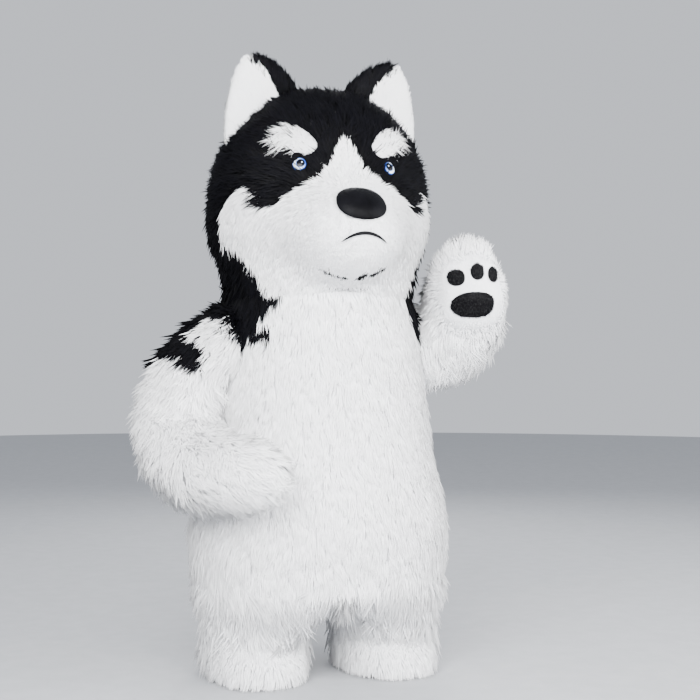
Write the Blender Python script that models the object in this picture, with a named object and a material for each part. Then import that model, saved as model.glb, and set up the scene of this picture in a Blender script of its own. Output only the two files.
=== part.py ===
"""A dog costume in long-pile fur cloth, worn and standing: one arm bent to the belly, one paw raised.

Every panel is a closed wall of fur cloth over an open hollow: the outer face is the reach of the pile, the inner
face is the back of the cloth. Heights are measured from the soles. Headings are measured round the wearer, 0 at
the front (-Y), positive towards the wearer's left (+X). All pieces hang from one empty, which puts the origin at
the middle of the neck seam, where the costume rests on the wearer's shoulders.
"""

import math
from collections import namedtuple

import bmesh
import bpy
import numpy as np
from mathutils import Vector
from mathutils.bvhtree import BVHTree

# Driving sizes, in metres
WALL = 0.030
SEAM = 0.0003
NECK_HEIGHT = 1.235
HIP_HEIGHT = 0.330
CROTCH_HEIGHT = 0.262
SOLE_THICKNESS = 0.012
HEAD_CENTRE_HEIGHT = 1.530
NECK_RISE = -44.0
CENTRE_GAP = SEAM / 2
SPLIT_ORDER = Vector((0.11, 0.77, -0.63))

# The head's reach from its centre, for rises from the neck rim to the crown, at its front, sides and back
HeadRow = namedtuple("HeadRow", "rise front side back")
HEAD_ROWS = [
    HeadRow(-44, 0.4247, 0.4247, 0.4247),
    HeadRow(-37, 0.392, 0.394, 0.392),
    HeadRow(-30, 0.370, 0.378, 0.372),
    HeadRow(-22, 0.355, 0.374, 0.362),
    HeadRow(-10, 0.335, 0.368, 0.345),
    HeadRow(5, 0.318, 0.357, 0.335),
    HeadRow(20, 0.322, 0.357, 0.335),
    HeadRow(35, 0.332, 0.362, 0.338),
    HeadRow(50, 0.340, 0.367, 0.345),
    HeadRow(65, 0.352, 0.370, 0.353),
    HeadRow(80, 0.362, 0.366, 0.361),
    HeadRow(90, 0.363, 0.363, 0.363),
]
MUZZLE_REACH = 0.155
MUZZLE_RISE = -16.0
MUZZLE_SPREAD_UP = 19.0
MUZZLE_SPREAD_DOWN = 22.0
MUZZLE_SPREAD_SIDE = 28.0
MUZZLE_BLUNTNESS = 1.3

# The rise of the seam between the white mask and the black hood, from the blaze to the cheek
MaskRow = namedtuple("MaskRow", "heading rise")
MASK_ROWS = [
    MaskRow(0, 31),
    MaskRow(4, 27),
    MaskRow(8, 17),
    MaskRow(12, 10),
    MaskRow(18, 6),
    MaskRow(26, 2),
    MaskRow(34, -2),
    MaskRow(41, -6),
    MaskRow(47, -5),
    MaskRow(52, 4),
    MaskRow(58, 6),
    MaskRow(65, 3),
    MaskRow(72, -2),
    MaskRow(76, -8),
    MaskRow(80, -16),
    MaskRow(84, -25),
    MaskRow(88, -34),
    MaskRow(92, -44),
]

CHEEK_HEADING = 85.0
CHEEK_SPREAD = 80.0
CHEEK_SWEEP = 30.0
JAW_CORNER = 0.14

# The body's rings, from the leg seam to the neck seam
TorsoRing = namedtuple("TorsoRing", "height half_width front back")
TORSO_RINGS = [
    TorsoRing(0.330, 0.412, 0.350, 0.320),
    TorsoRing(0.420, 0.420, 0.362, 0.328),
    TorsoRing(0.520, 0.416, 0.366, 0.330),
    TorsoRing(0.620, 0.396, 0.356, 0.324),
    TorsoRing(0.740, 0.368, 0.340, 0.314),
    TorsoRing(0.880, 0.352, 0.326, 0.306),
    TorsoRing(1.000, 0.342, 0.318, 0.302),
    TorsoRing(1.100, 0.332, 0.310, 0.300),
    TorsoRing(1.180, 0.319, 0.305, 0.300),
    TorsoRing(1.235, 0.3055, 0.3055, 0.3055),
]
TORSO_FULLNESS = 2.15
NECK_FULLNESS = 2.0

# The armhole, an oval on the body's side, and the front edge of the black shoulder
SIDE_SEAM = 88.0
HIP_SEAM = 116.0
SEAM_SWEEP = 0.16
ARMHOLE_HEIGHT = 1.062
ARMHOLE_HALF_HEIGHT = 0.130
ARMHOLE_HALF_ANGLE = 26.0
ARMHOLE_STEPS = 10
SHOULDER_TIP_STEP = 5
SHOULDER_NECK_HEADING = 46.0

# The arms' centrelines, as drawn on the +X side, from the armhole to the tip of the mitt. broad is the reach along
# the ring's own up, deep its reach along its front.
ArmPoint = namedtuple("ArmPoint", "x y height broad deep")
RAISED_ARM = [
    ArmPoint(0.328, -0.006, 1.052, 0.134, 0.136),
    ArmPoint(0.372, -0.028, 1.062, 0.134, 0.134),
    ArmPoint(0.430, -0.080, 1.096, 0.134, 0.130),
    ArmPoint(0.455, -0.135, 1.155, 0.136, 0.120),
    ArmPoint(0.450, -0.180, 1.222, 0.144, 0.106),
    ArmPoint(0.440, -0.205, 1.300, 0.144, 0.100),
    ArmPoint(0.434, -0.212, 1.398, 0.136, 0.094),
]
BENT_ARM = [
    ArmPoint(0.334, 0.002, 1.056, 0.134, 0.136),
    ArmPoint(0.396, 0.004, 0.980, 0.138, 0.138),
    ArmPoint(0.442, -0.006, 0.888, 0.140, 0.140),
    ArmPoint(0.462, -0.050, 0.785, 0.140, 0.140),
    ArmPoint(0.452, -0.138, 0.715, 0.134, 0.136),
    ArmPoint(0.418, -0.232, 0.686, 0.118, 0.124),
    ArmPoint(0.365, -0.318, 0.682, 0.102, 0.118),
    ArmPoint(0.305, -0.385, 0.684, 0.098, 0.120),
    ArmPoint(0.228, -0.436, 0.688, 0.090, 0.112),
]
RAISED_CUFF = 0.50
BENT_CUFF = 0.70
CAP_TURN_STEP = 18
CAP_CORNER = 1.2

# The black top of a sleeve: how far it reaches down the sleeve, as a share of the sleeve, at each turn. On the bent
# arm the cloth is cut on a slant, so that its front corner hangs forward under a tongue of white.
CapRow = namedtuple("CapRow", "turn bent raised")
CAP_ROWS = [
    CapRow(-126, 0.00, 0.00),
    CapRow(-108, 0.07, 0.14),
    CapRow(-90, 0.14, 0.28),
    CapRow(-72, 0.19, 0.42),
    CapRow(-54, 0.22, 0.54),
    CapRow(-36, 0.21, 0.62),
    CapRow(-18, 0.19, 0.56),
    CapRow(0, 0.18, 0.42),
    CapRow(18, 0.19, 0.28),
    CapRow(36, 0.20, 0.08),
    CapRow(54, 0.09, 0.05),
    CapRow(72, 0.00, 0.00),
]
BENT_SLANT = 330.0
SLANT_LENGTH = 0.15
BENT_CAP_GAP = 0.0020
RAISED_CAP_GAP = 0.0018

# A leg's rings below the body: the oval's middle, half width and reach to the front and the back
LegRing = namedtuple("LegRing", "height middle half_width front back")
ANKLE = LegRing(0.130, 0.218, 0.158, 0.190, 0.168)
FOOT_RINGS = [
    LegRing(0.130, 0.218, 0.158, 0.190, 0.168),
    LegRing(0.105, 0.219, 0.160, 0.208, 0.170),
    LegRing(0.078, 0.220, 0.161, 0.226, 0.171),
    LegRing(0.050, 0.220, 0.160, 0.234, 0.170),
    LegRing(0.028, 0.220, 0.155, 0.230, 0.165),
    LegRing(0.012, 0.220, 0.146, 0.220, 0.156),
]
FOOT_FULLNESS = 2.3
SOLE_INSET = 0.002

# Face pieces: where each lies on the head, in degrees, and its half sizes in metres
FacePiece = namedtuple("FacePiece", "heading rise half_long half_short tilt thick fullness")
EYE = FacePiece(27.4, 15.2, 0.0215, 0.0215, 0.0, 0.010, 2.0)
BROW = FacePiece(28.6, 29.6, 0.062, 0.0360, 38.0, 0.014, 2.8)
NOSE = FacePiece(0.0, -5.6, 0.080, 0.048, 0.0, 0.018, 2.3)
MOUTH_RISE = -15.8
MOUTH_DROP = 3.4
MOUTH_HALF_HEADING = 9.0
MOUTH_HALF_WIDTH = 0.005
MOUTH_THICKNESS = 0.004

# Ears: the base on the head as an oval about a direction, and the tip
EAR_ELEVATION = 53.0
EAR_HALF_SPAN = 25.0
EAR_HALF_DEPTH = 8.0
EAR_FORWARD = 4.0
EAR_TIP = (0.262, -0.060, 1.985)
EAR_BULGE = 0.018
EAR_LINING_EDGE = 120.0
EAR_WALL_SHARE = 0.42
EAR_BLUNT = 0.10

# Pads on the raised paw's palm: middle, across and up from the pads' centre, and half sizes
Pad = namedtuple("Pad", "name across up half_wide half_tall fullness")
PAD_CENTRE = (0.420, 1.240)
PADS = [
    Pad("toe_pad_inner", -0.040, 0.040, 0.0205, 0.0265, 2.2),
    Pad("toe_pad_middle", 0.014, 0.058, 0.0195, 0.0265, 2.2),
    Pad("toe_pad_outer", 0.064, 0.050, 0.0175, 0.0255, 2.2),
    Pad("palm_pad", 0.010, -0.046, 0.0600, 0.0410, 2.4),
]
PAD_THICKNESS = 0.007
LIFT = 0.0006
SNUG_LIFT = 0.0009
EAR_LIFT = 0.0016


def rad(degrees):
    """Degrees to radians."""
    return np.radians(degrees)


def through(table, column, at, key):
    """A smooth curve through a table's column, by cubic Hermite pieces with secant slopes."""
    xs = np.array([getattr(row, key) for row in table], float)
    ys = np.array([getattr(row, column) for row in table], float)
    at = np.clip(np.asarray(at, float), xs[0], xs[-1])
    slopes = np.gradient(ys, xs)
    i = np.clip(np.searchsorted(xs, at, side="right") - 1, 0, len(xs) - 2)
    step = xs[i + 1] - xs[i]
    t = (at - xs[i]) / step
    a = (1 + 2 * t) * (1 - t) ** 2 * ys[i] + t * (1 - t) ** 2 * step * slopes[i]
    return a + t * t * (3 - 2 * t) * ys[i + 1] + t * t * (t - 1) * step * slopes[i + 1]


def ease(t):
    """A smooth step from 0 to 1."""
    t = np.clip(t, 0, 1)
    return t * t * (3 - 2 * t)


def head_reach(heading, rise):
    """The distance from the head's centre to the tips of its fur."""
    heading, rise = np.broadcast_arrays(np.asarray(heading, float), np.asarray(rise, float))
    heading = (heading + 180) % 360 - 180
    forward = np.cos(rad(heading))
    ends = np.where(
        forward > 0,
        through(HEAD_ROWS, "front", rise, "rise"),
        through(HEAD_ROWS, "back", rise, "rise"),
    )
    base = through(HEAD_ROWS, "side", rise, "rise") * (1 - forward**2) + ends * forward**2
    spread = np.where(rise > MUZZLE_RISE, MUZZLE_SPREAD_UP, MUZZLE_SPREAD_DOWN)
    away = ((rise - MUZZLE_RISE) / spread) ** 2 + (heading / MUZZLE_SPREAD_SIDE) ** 2
    bump = np.exp(-(away**MUZZLE_BLUNTNESS))
    return base + MUZZLE_REACH * bump * ease((rise - NECK_RISE) / 8)


def cheek_sweep(heading, rise):
    """Below the cheek the headings sweep forward, so that the mask's rear edge runs under the jaw."""
    bell = np.clip(1 - ((np.abs(heading) - CHEEK_HEADING) / CHEEK_SPREAD) ** 2, 0, 1)
    return heading - np.sign(heading) * CHEEK_SWEEP * bell * ease((-12 - rise) / (-12 - NECK_RISE))


def head_point(heading, rise, inset=0.0):
    """A point of the head's surface, or inset below it towards the head's centre."""
    heading, rise = np.broadcast_arrays(np.asarray(heading, float), np.asarray(rise, float))
    heading = cheek_sweep(heading, rise)
    reach = head_reach(heading, rise) - inset
    level = np.cos(rad(rise)) * reach
    x = level * np.sin(rad(heading))
    y = -level * np.cos(rad(heading))
    return np.stack([x, y, HEAD_CENTRE_HEIGHT + reach * np.sin(rad(rise))], axis=-1)


def torso_reach(heading, height):
    """The body's reach from its upright axis: a full oval ring, with its own front and back depths."""
    across = np.abs(np.sin(rad(heading))) / through(TORSO_RINGS, "half_width", height, "height")
    along = np.cos(rad(heading))
    depth = np.where(
        along > 0,
        through(TORSO_RINGS, "front", height, "height"),
        through(TORSO_RINGS, "back", height, "height"),
    )
    n = NECK_FULLNESS + (TORSO_FULLNESS - NECK_FULLNESS) * ease((NECK_HEIGHT - height) / 0.15)
    return (across**n + (np.abs(along) / depth) ** n) ** (-1 / n)


def torso_point(heading, height, inset=0.0):
    """A point of the body's surface, or inset below it towards its axis."""
    heading, height = np.broadcast_arrays(np.asarray(heading, float), np.asarray(height, float))
    reach = torso_reach(heading, height) - inset
    return np.stack([reach * np.sin(rad(heading)), -reach * np.cos(rad(heading)), height], axis=-1)


def material(name, colour, roughness):
    """A plain coloured material."""
    made = bpy.data.materials.new(name)
    made.use_nodes = True
    shader = made.node_tree.nodes["Principled BSDF"]
    shader.inputs["Base Color"].default_value = (*colour, 1.0)
    shader.inputs["Roughness"].default_value = roughness
    made.diffuse_color = (*colour, 1.0)
    return made


def rim(bm, outer, inner):
    """Closes a wall's edge. Each quad is split from its lower outer corner, so that two edges that meet match."""
    for a, b, c, d in zip(outer[:-1], outer[1:], inner[1:], inner[:-1]):
        low_first = SPLIT_ORDER.dot(a.co) <= SPLIT_ORDER.dot(b.co)
        corners = [(a, b, c), (a, c, d)] if low_first else [(a, b, d), (b, c, d)]
        for three in corners:
            if len(set(three)) == 3:
                bm.faces.new(three)


def sheet(bm, grid, closed):
    """Fills a grid of points with quads."""
    rows, columns = len(grid), len(grid[0])
    for i in range(rows - 1):
        for j in range(columns if closed else columns - 1):
            k = (j + 1) % columns
            bm.faces.new((grid[i][j], grid[i][k], grid[i + 1][k], grid[i + 1][j]))


def wall(name, outer, inner, finish, closed=False, first_rim=True, last_rim=True):
    """A wall of cloth between two grids of points, as one closed object.

    closed joins each row's last point to its first. A row that is one point, such as a crown, needs no rim.
    """
    bm = bmesh.new()
    grids = [[[bm.verts.new(p) for p in row] for row in np.asarray(g, float)] for g in (outer, inner)]
    for grid in grids:
        sheet(bm, grid, closed)
    over, under = grids
    ends = [(0, first_rim), (-1, last_rim)]
    for row, wanted in ends:
        if wanted:
            tail = [0] if closed else []
            order = list(range(len(over[0]))) + tail
            rim(bm, [over[row][j] for j in order], [under[row][j] for j in order])
    if not closed:
        for column in (0, -1):
            rim(bm, [row[column] for row in over], [row[column] for row in under])
    bmesh.ops.remove_doubles(bm, verts=bm.verts, dist=2e-5)
    bmesh.ops.dissolve_degenerate(bm, edges=bm.edges, dist=1e-6)
    bmesh.ops.recalc_face_normals(bm, faces=bm.faces)
    mesh = bpy.data.meshes.new(name)
    bm.to_mesh(mesh)
    bm.free()
    mesh.materials.append(finish)
    mesh.shade_smooth()
    mesh.set_sharp_from_angle(angle=math.radians(50))
    made = bpy.data.objects.new(name, mesh)
    COSTUME.objects.link(made)
    made.parent = HOLDER
    return made


def mask_rise(heading):
    """The rise of the seam between the mask and the hood at a heading, down to the neck rim at the cheek's end."""
    return np.interp(np.abs(heading), [r.heading for r in MASK_ROWS], [r.rise for r in MASK_ROWS])


def mask_gap(heading):
    """Half the seam's gap as a rise, wider where the seam runs steeply."""
    step = 0.5
    slope = (mask_rise(heading + step) - mask_rise(heading - step)) / (2 * step)
    return np.degrees(CENTRE_GAP / 0.28) * np.sqrt(1 + slope**2)


def between(low, high, count):
    """Values from low to high, as rows of a grid, for arrays of ends."""
    share = np.linspace(0, 1, count)[:, None]
    return np.asarray(low)[None, :] * (1 - share) + np.asarray(high)[None, :] * share


def build_mask(white):
    """The white mask: cheeks, muzzle, chin and the blaze between the eyes."""
    half = np.array([row.heading for row in MASK_ROWS], float)
    half[-1] -= JAW_CORNER
    headings = np.concatenate([-half[:0:-1], half])
    top = np.maximum(mask_rise(headings) - mask_gap(headings), NECK_RISE)
    rises = between(np.full(len(headings), NECK_RISE), top, 12)
    grid = np.broadcast_to(headings, rises.shape)
    wall("head_mask", head_point(grid, rises), head_point(grid, rises, WALL), white)


def build_hood(side, name, black):
    """Half of the black hood, from the mask's seam to the crown and the nape."""
    half = np.array([row.heading for row in MASK_ROWS], float)
    half = np.concatenate([half, np.linspace(104, 180, 7)])
    bottom = np.where(half <= MASK_ROWS[-1].heading, mask_rise(half) + mask_gap(half), NECK_RISE)
    rises = between(bottom, np.full(len(half), 90.0), 10)
    grid = np.broadcast_to(side * half, rises.shape)
    shift = np.array([side * CENTRE_GAP, 0, 0])
    wall(name, head_point(grid, rises) + shift, head_point(grid, rises, WALL) + shift, black, last_rim=False)


def armhole(turn):
    """The armhole's heading and height at a turn, in degrees, from its top through its front to its bottom."""
    heading = SIDE_SEAM - ARMHOLE_HALF_ANGLE * np.sin(rad(turn))
    return heading, ARMHOLE_HEIGHT + ARMHOLE_HALF_HEIGHT * np.cos(rad(turn))


def armhole_levels():
    """The heights of the armhole's points, from its bottom to its top."""
    return armhole(180 - np.linspace(0, 180, ARMHOLE_STEPS + 1))[1]


def torso_levels():
    """The heights of the body's rows, with one through each point of the armhole."""
    low = np.linspace(HIP_HEIGHT, armhole_levels()[0], 11)[:-1]
    high = np.linspace(armhole_levels()[-1], NECK_HEIGHT - SEAM, 3)[1:]
    return np.concatenate([low, armhole_levels(), high])


def armhole_half_angle(height):
    """How far the armhole opens to each side of the side seam at a height."""
    share = np.clip((height - ARMHOLE_HEIGHT) / ARMHOLE_HALF_HEIGHT, -1, 1)
    return ARMHOLE_HALF_ANGLE * np.sqrt(1 - share**2)


def side_seam(height):
    """The side seam's heading: through the armhole's middle, and swept back below it."""
    low = ARMHOLE_HEIGHT - ARMHOLE_HALF_HEIGHT
    return SIDE_SEAM + (HIP_SEAM - SIDE_SEAM) * ease((low - height) / SEAM_SWEEP)


def shoulder_edge(height):
    """The heading of the black shoulder's front edge, from its tip at the armhole up to the neck."""
    tip = armhole_levels()[SHOULDER_TIP_STEP]
    start = SIDE_SEAM - armhole_half_angle(tip)
    share = ease((height - tip) / (NECK_HEIGHT - tip))
    return start + (SHOULDER_NECK_HEADING - start) * share


def seam_angle(height):
    """Half the seam's gap, as a heading, wider where the side seam sweeps back."""
    step = 0.002
    slope = rad(side_seam(height - step) - side_seam(height + step)) * 0.35 / (2 * step)
    return np.degrees(CENTRE_GAP / torso_reach(SIDE_SEAM, height)) * np.sqrt(1 + slope**2)


def build_body_front(white):
    """The white front, from the neck to the legs, cut away at the armholes and under the black shoulders."""
    levels = torso_levels()
    tip = armhole_levels()[SHOULDER_TIP_STEP]
    edge = side_seam(levels) - armhole_half_angle(levels)
    edge = np.where(levels > tip + SEAM, shoulder_edge(levels), edge) - 2 * seam_angle(levels)
    headings = between(-edge, edge, 17).T
    heights = np.broadcast_to(levels[:, None], headings.shape)
    wall("body_front", torso_point(headings, heights), torso_point(headings, heights, WALL), white)


def build_shoulder(side, name, black):
    """A black shoulder piece, over the armhole's front and top and up to the neck."""
    levels = torso_levels()
    levels = levels[levels > armhole_levels()[SHOULDER_TIP_STEP] - SEAM]
    outer_edge = SIDE_SEAM - armhole_half_angle(levels) - seam_angle(levels)
    inner_edge = np.minimum(shoulder_edge(levels) + seam_angle(levels), outer_edge)
    headings = side * between(inner_edge, outer_edge, 6).T
    heights = np.broadcast_to(levels[:, None], headings.shape)
    wall(name, torso_point(headings, heights), torso_point(headings, heights, WALL), black, first_rim=False)


def build_back(side, name, black):
    """Half of the back, from the side seam round to the closing seam at the centre."""
    levels = torso_levels()
    edge = side_seam(levels) + armhole_half_angle(levels) + seam_angle(levels)
    headings = side * between(edge, np.full(len(levels), 180.0), 10).T
    heights = np.broadcast_to(levels[:, None], headings.shape)
    shift = np.array([side * CENTRE_GAP, 0, 0])
    outer = torso_point(headings, heights) + shift
    wall(name, outer, torso_point(headings, heights, WALL) + shift, black)


def unit(v):
    """A vector, or rows of them, at length 1."""
    v = np.asarray(v, float)
    return v / np.linalg.norm(v, axis=-1, keepdims=True)


def path_through(points, side, count):
    """count evenly spaced points, with their reaches, along a smooth curve through an arm's points."""
    rows = np.array([[side * p.x, p.y, p.height, p.broad, p.deep] for p in points])
    along = np.concatenate([[0], np.cumsum(np.linalg.norm(np.diff(rows[:, :3], axis=0), axis=1))])
    fine = np.linspace(0, along[-1], 120)
    slopes = np.gradient(rows, along, axis=0)
    i = np.clip(np.searchsorted(along, fine, side="right") - 1, 0, len(rows) - 2)
    step = (along[i + 1] - along[i])[:, None]
    t = (fine - along[i])[:, None] / step
    a = (1 + 2 * t) * (1 - t) ** 2 * rows[i] + t * (1 - t) ** 2 * step * slopes[i]
    curve = a + t * t * (3 - 2 * t) * rows[i + 1] + t * t * (t - 1) * step * slopes[i + 1]
    length = np.concatenate([[0], np.cumsum(np.linalg.norm(np.diff(curve[:, :3], axis=0), axis=1))])
    even = np.linspace(0, length[-1], count)
    return np.stack([np.interp(even, length, curve[:, k]) for k in range(5)], axis=1), length[-1]


def clear_of_body(points, gap):
    """Moves points that lie inside the body straight out from its axis, until they are gap outside it."""
    heading = np.degrees(np.arctan2(points[..., 0], -points[..., 1]))
    level = np.hypot(points[..., 0], points[..., 1])
    least = torso_reach(heading, np.clip(points[..., 2], HIP_HEIGHT, NECK_HEIGHT)) + gap
    scale = np.where(level < least, least / np.maximum(level, 1e-6), 1.0)
    return points * np.stack([scale, scale, np.ones_like(scale)], axis=-1)


def clear_of_armhole(points, side, most):
    """Moves points that lie in the body's wall back into the armhole, to at most this share of the way to its edge."""
    heading = side * np.degrees(np.arctan2(points[..., 0], -points[..., 1]))
    level = np.hypot(points[..., 0], points[..., 1])
    reach = torso_reach(heading, np.clip(points[..., 2], HIP_HEIGHT, NECK_HEIGHT))
    off = np.hypot((heading - SIDE_SEAM) / ARMHOLE_HALF_ANGLE, (points[..., 2] - ARMHOLE_HEIGHT) / ARMHOLE_HALF_HEIGHT)
    keep = np.where((level < reach + 0.004) & (off > most), most / off, 1.0)
    heading = side * (SIDE_SEAM + (heading - SIDE_SEAM) * keep)
    height = ARMHOLE_HEIGHT + (points[..., 2] - ARMHOLE_HEIGHT) * keep
    moved = np.stack([level * np.sin(rad(heading)), -level * np.cos(rad(heading)), height], axis=-1)
    return np.where((keep < 1)[..., None], moved, points)


class Arm:
    """An arm's tube, from the armhole to the mitt's tip. Turn 0 is its top where it leaves the body, 90 its front."""

    def __init__(self, side, points, cuff, cap_gap, slant=0.0):
        self.side = side
        self.cuff = cuff
        self.cap_gap = cap_gap
        self.slant = slant
        self.rows, self.length = path_through(points, side, 61)
        tangents = unit(np.gradient(self.rows[:, :3], axis=0))
        up = np.array([0.0, 0.0, 1.0])
        self.ups = []
        for tangent in tangents:
            up = unit(up - tangent * np.dot(up, tangent))
            self.ups.append(up)
        self.ups = np.array(self.ups)
        self.fronts = unit(np.cross(tangents, self.ups)) * side
        self.tangents = tangents

    def pick(self, values, share):
        """Rows of values at shares of the arm's length."""
        place = np.clip(np.asarray(share, float), 0, 1) * (len(values) - 1)
        steps = np.arange(len(values))
        return np.stack([np.interp(place, steps, values[:, k]) for k in range(values.shape[1])], axis=-1)

    def shell(self, share, turn, closing=1.0):
        """The outer surface's points and the tube's centres. closing draws the rings in at the mitt's dome."""
        share, turn = np.broadcast_arrays(np.asarray(share, float), np.asarray(turn, float))
        rows = self.pick(self.rows, share)
        up, front = unit(self.pick(self.ups, share)), unit(self.pick(self.fronts, share))
        broad, deep = rows[..., 3:4] * closing, rows[..., 4:5] * closing
        spoke = np.cos(rad(turn))[..., None] * up * broad + np.sin(rad(turn))[..., None] * front * deep
        return rows[..., :3] + spoke, rows[..., :3]

    def sleeve(self, share, turn):
        """The sleeve's outer and inner points: it grows out of the armhole and stays clear of the body."""
        share, turn = np.broadcast_arrays(np.asarray(share, float), np.asarray(turn, float))
        turn = turn + self.slant * np.minimum(share * self.length, SLANT_LENGTH)
        outer, centre = self.shell(share, turn)
        shrink = 1 - 2 * SEAM / ARMHOLE_HALF_HEIGHT
        heading = self.side * (SIDE_SEAM - ARMHOLE_HALF_ANGLE * shrink * np.sin(rad(turn)))
        height = ARMHOLE_HEIGHT + ARMHOLE_HALF_HEIGHT * shrink * np.cos(rad(turn))
        root_outer = torso_point(heading, height)
        root_inner = torso_point(heading, height, WALL)
        metres = share * self.length
        grown = ease(metres / 0.13)[..., None]
        skin = clear_of_body(root_outer * (1 - grown) + outer * grown, 0.006 * ease(metres / 0.03))
        spoke = centre - skin
        lining = skin + spoke * (WALL / np.linalg.norm(spoke, axis=-1, keepdims=True))
        near = 1 - ease(metres / 0.06)[..., None]
        lining = lining * (1 - near) + (root_inner + (skin - root_outer)) * near
        lining = clear_of_armhole(lining, self.side, shrink - 0.045 * ease(metres / 0.03))
        return skin, lining

    def mitt(self, rows, turns):
        """The mitt's outer and inner rows, from the cuff seam to one point at its tip."""
        start = self.cuff + SEAM / self.length
        arc = np.linspace(0, 90, rows)
        share = start + (1 - start) * np.sin(rad(arc))
        closing = np.minimum(np.cos(rad(arc)) ** 0.75 * 1.0, 1.0)
        closing = np.where(arc < 38, 1.0 - (1 - closing) * ease(arc / 38), closing)
        share, closing = share[:, None], closing[:, None, None]
        grid = np.broadcast_to(turns, (rows, len(turns)))
        slanted = grid + self.slant * SLANT_LENGTH
        outer, centre = self.shell(np.broadcast_to(share, grid.shape), slanted, closing)
        outer = clear_of_body(outer, 0.006)
        share = np.minimum(share, 1 - WALL / self.length)
        centre = np.broadcast_to(self.pick(self.rows, share)[..., :3], outer.shape)
        spoke = centre - outer
        inner = outer + spoke * np.minimum(WALL / np.linalg.norm(spoke, axis=-1, keepdims=True), 0.75)
        inner[0] = outer[0] + (self.sleeve(self.cuff, grid[0])[1] - self.sleeve(self.cuff, grid[0])[0])
        tip = self.pick(self.rows, np.array([1 - WALL / self.length]))[0, :3]
        inner[-1] = tip
        return outer, inner


def build_sleeve(arm, name, column, white, black):
    """A sleeve in two pieces: the black top that carries on the back's colour, and the white rest of the tube."""
    turns = np.array([row.turn for row in CAP_ROWS], float)
    reach = np.array([getattr(row, column) for row in CAP_ROWS]) * arm.cuff
    around = np.arange(-180, 180, CAP_TURN_STEP).astype(float)
    edge = np.interp(around, turns, reach, left=0, right=0)
    edge = np.where(edge > 0, edge + arm.cap_gap / arm.length, 0)
    shares = between(edge, np.full(len(around), arm.cuff), 11)
    wall(name, *arm.sleeve(shares, np.broadcast_to(around, shares.shape)), white, closed=True)
    shares = between(np.zeros(len(turns)), reach, 6)
    turns = turns + CAP_CORNER * (np.arange(len(turns)) == 0) - CAP_CORNER * (np.arange(len(turns)) == len(turns) - 1)
    wall(name.replace("sleeve", "sleeve_top"), *arm.sleeve(shares, np.broadcast_to(turns, shares.shape)), black)


def build_mitt(arm, name, white):
    """A mitt, closed at its tip and open at the cuff."""
    turns = np.arange(-180, 180, CAP_TURN_STEP).astype(float)
    wall(name, *arm.mitt(9, turns), white, closed=True, last_rim=False)


def oval(ring, turn, inset=0.0):
    """A point of a leg's oval ring on the +X side. Turn 0 is its front, 90 its outer side."""
    across = np.abs(np.sin(rad(turn))) / ring.half_width
    depth = np.where(np.cos(rad(turn)) > 0, ring.front, ring.back)
    reach = (across**FOOT_FULLNESS + (np.abs(np.cos(rad(turn))) / depth) ** FOOT_FULLNESS) ** (-1 / FOOT_FULLNESS)
    reach = reach - inset
    x = ring.middle + reach * np.sin(rad(turn))
    return np.stack([x, -reach * np.cos(rad(turn)), np.full(np.shape(turn), ring.height)], axis=-1)


def leg_root(inset=0.0):
    """A leg's top edge on the +X side: half the body's bottom edge, then the crotch seam from back to front."""
    headings = np.linspace(0, 180, 17)
    around = torso_point(headings, HIP_HEIGHT, inset)
    around[:, 2] -= SEAM
    around[[0, -1], 0] = 0
    front, back = -around[0, 1], around[-1, 1]
    share = np.linspace(0, 1, 9)[1:-1]
    y = back - (back + front) * (1 - np.cos(np.pi * share)) / 2
    dip = HIP_HEIGHT - SEAM - CROTCH_HEIGHT - inset
    z = HIP_HEIGHT - SEAM - dip * np.sin(np.pi * share) ** 0.8
    crotch = np.stack([np.zeros(len(share)), y, z], axis=-1)
    edge = np.concatenate([around, crotch])
    edge[:, 0] = np.maximum(edge[:, 0], CENTRE_GAP)
    return edge


def build_leg(side, name, white):
    """A trouser leg, from the body's bottom edge and the crotch seam down to the ankle."""
    root = leg_root()
    root_inner = leg_root(WALL)
    turn = np.degrees(np.arctan2(root[:, 0] - ANKLE.middle, -root[:, 1]))
    last = turn[16] - 360 if turn[16] > 0 else turn[16]
    turn[17:] = np.linspace(last, turn[0], 9)[1:-1]
    low_outer, low_inner = oval(ANKLE, turn), oval(ANKLE, turn, WALL)
    rows = 7
    outer, inner = [], []
    for k in range(rows):
        t = k / (rows - 1)
        side_share = ease(t) * 0.35 + t * 0.65
        crotch = np.zeros(len(root))
        crotch[17:] = 1
        crotch[[0, 16]] = 0.5
        bow = side_share * (1 - crotch) + crotch * np.sin(np.pi / 2 * t)
        o = root * (1 - bow)[:, None] + low_outer * bow[:, None]
        i = root_inner * (1 - bow)[:, None] + low_inner * bow[:, None]
        o[:, 2] = root[:, 2] * (1 - t) + low_outer[:, 2] * t
        i[:, 2] = root_inner[:, 2] * (1 - t) + low_inner[:, 2] * t
        outer.append(o)
        inner.append(i)
    flip = np.array([side, 1, 1])
    wall(name, np.array(outer) * flip, np.array(inner) * flip, white, closed=True)


def build_foot(side, white, black):
    """A boot cover of long fur, and the flat sole it stands on."""
    turns = np.arange(0, 360, 18).astype(float)
    flip = np.array([side, 1, 1])
    end = "left" if side > 0 else "right"
    outer = np.array([oval(ring, turns) for ring in FOOT_RINGS])
    inner = np.array([oval(ring, turns, WALL) for ring in FOOT_RINGS])
    outer[0, :, 2] -= SEAM
    inner[0, :, 2] -= SEAM
    outer[-1, :, 2] += SEAM
    inner[-1, :, 2] += SEAM
    wall("foot_" + end, outer * flip, inner * flip, white, closed=True)
    top = FOOT_RINGS[-1]
    edge = oval(top, turns, SOLE_INSET)
    middle = np.broadcast_to([top.middle, -(top.front - top.back) / 2, SOLE_THICKNESS], edge.shape)
    upper = np.array([edge, middle])
    lower = upper * [1, 1, 0]
    wall("sole_" + end, upper * flip, lower * flip, black, closed=True, last_rim=False)


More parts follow.
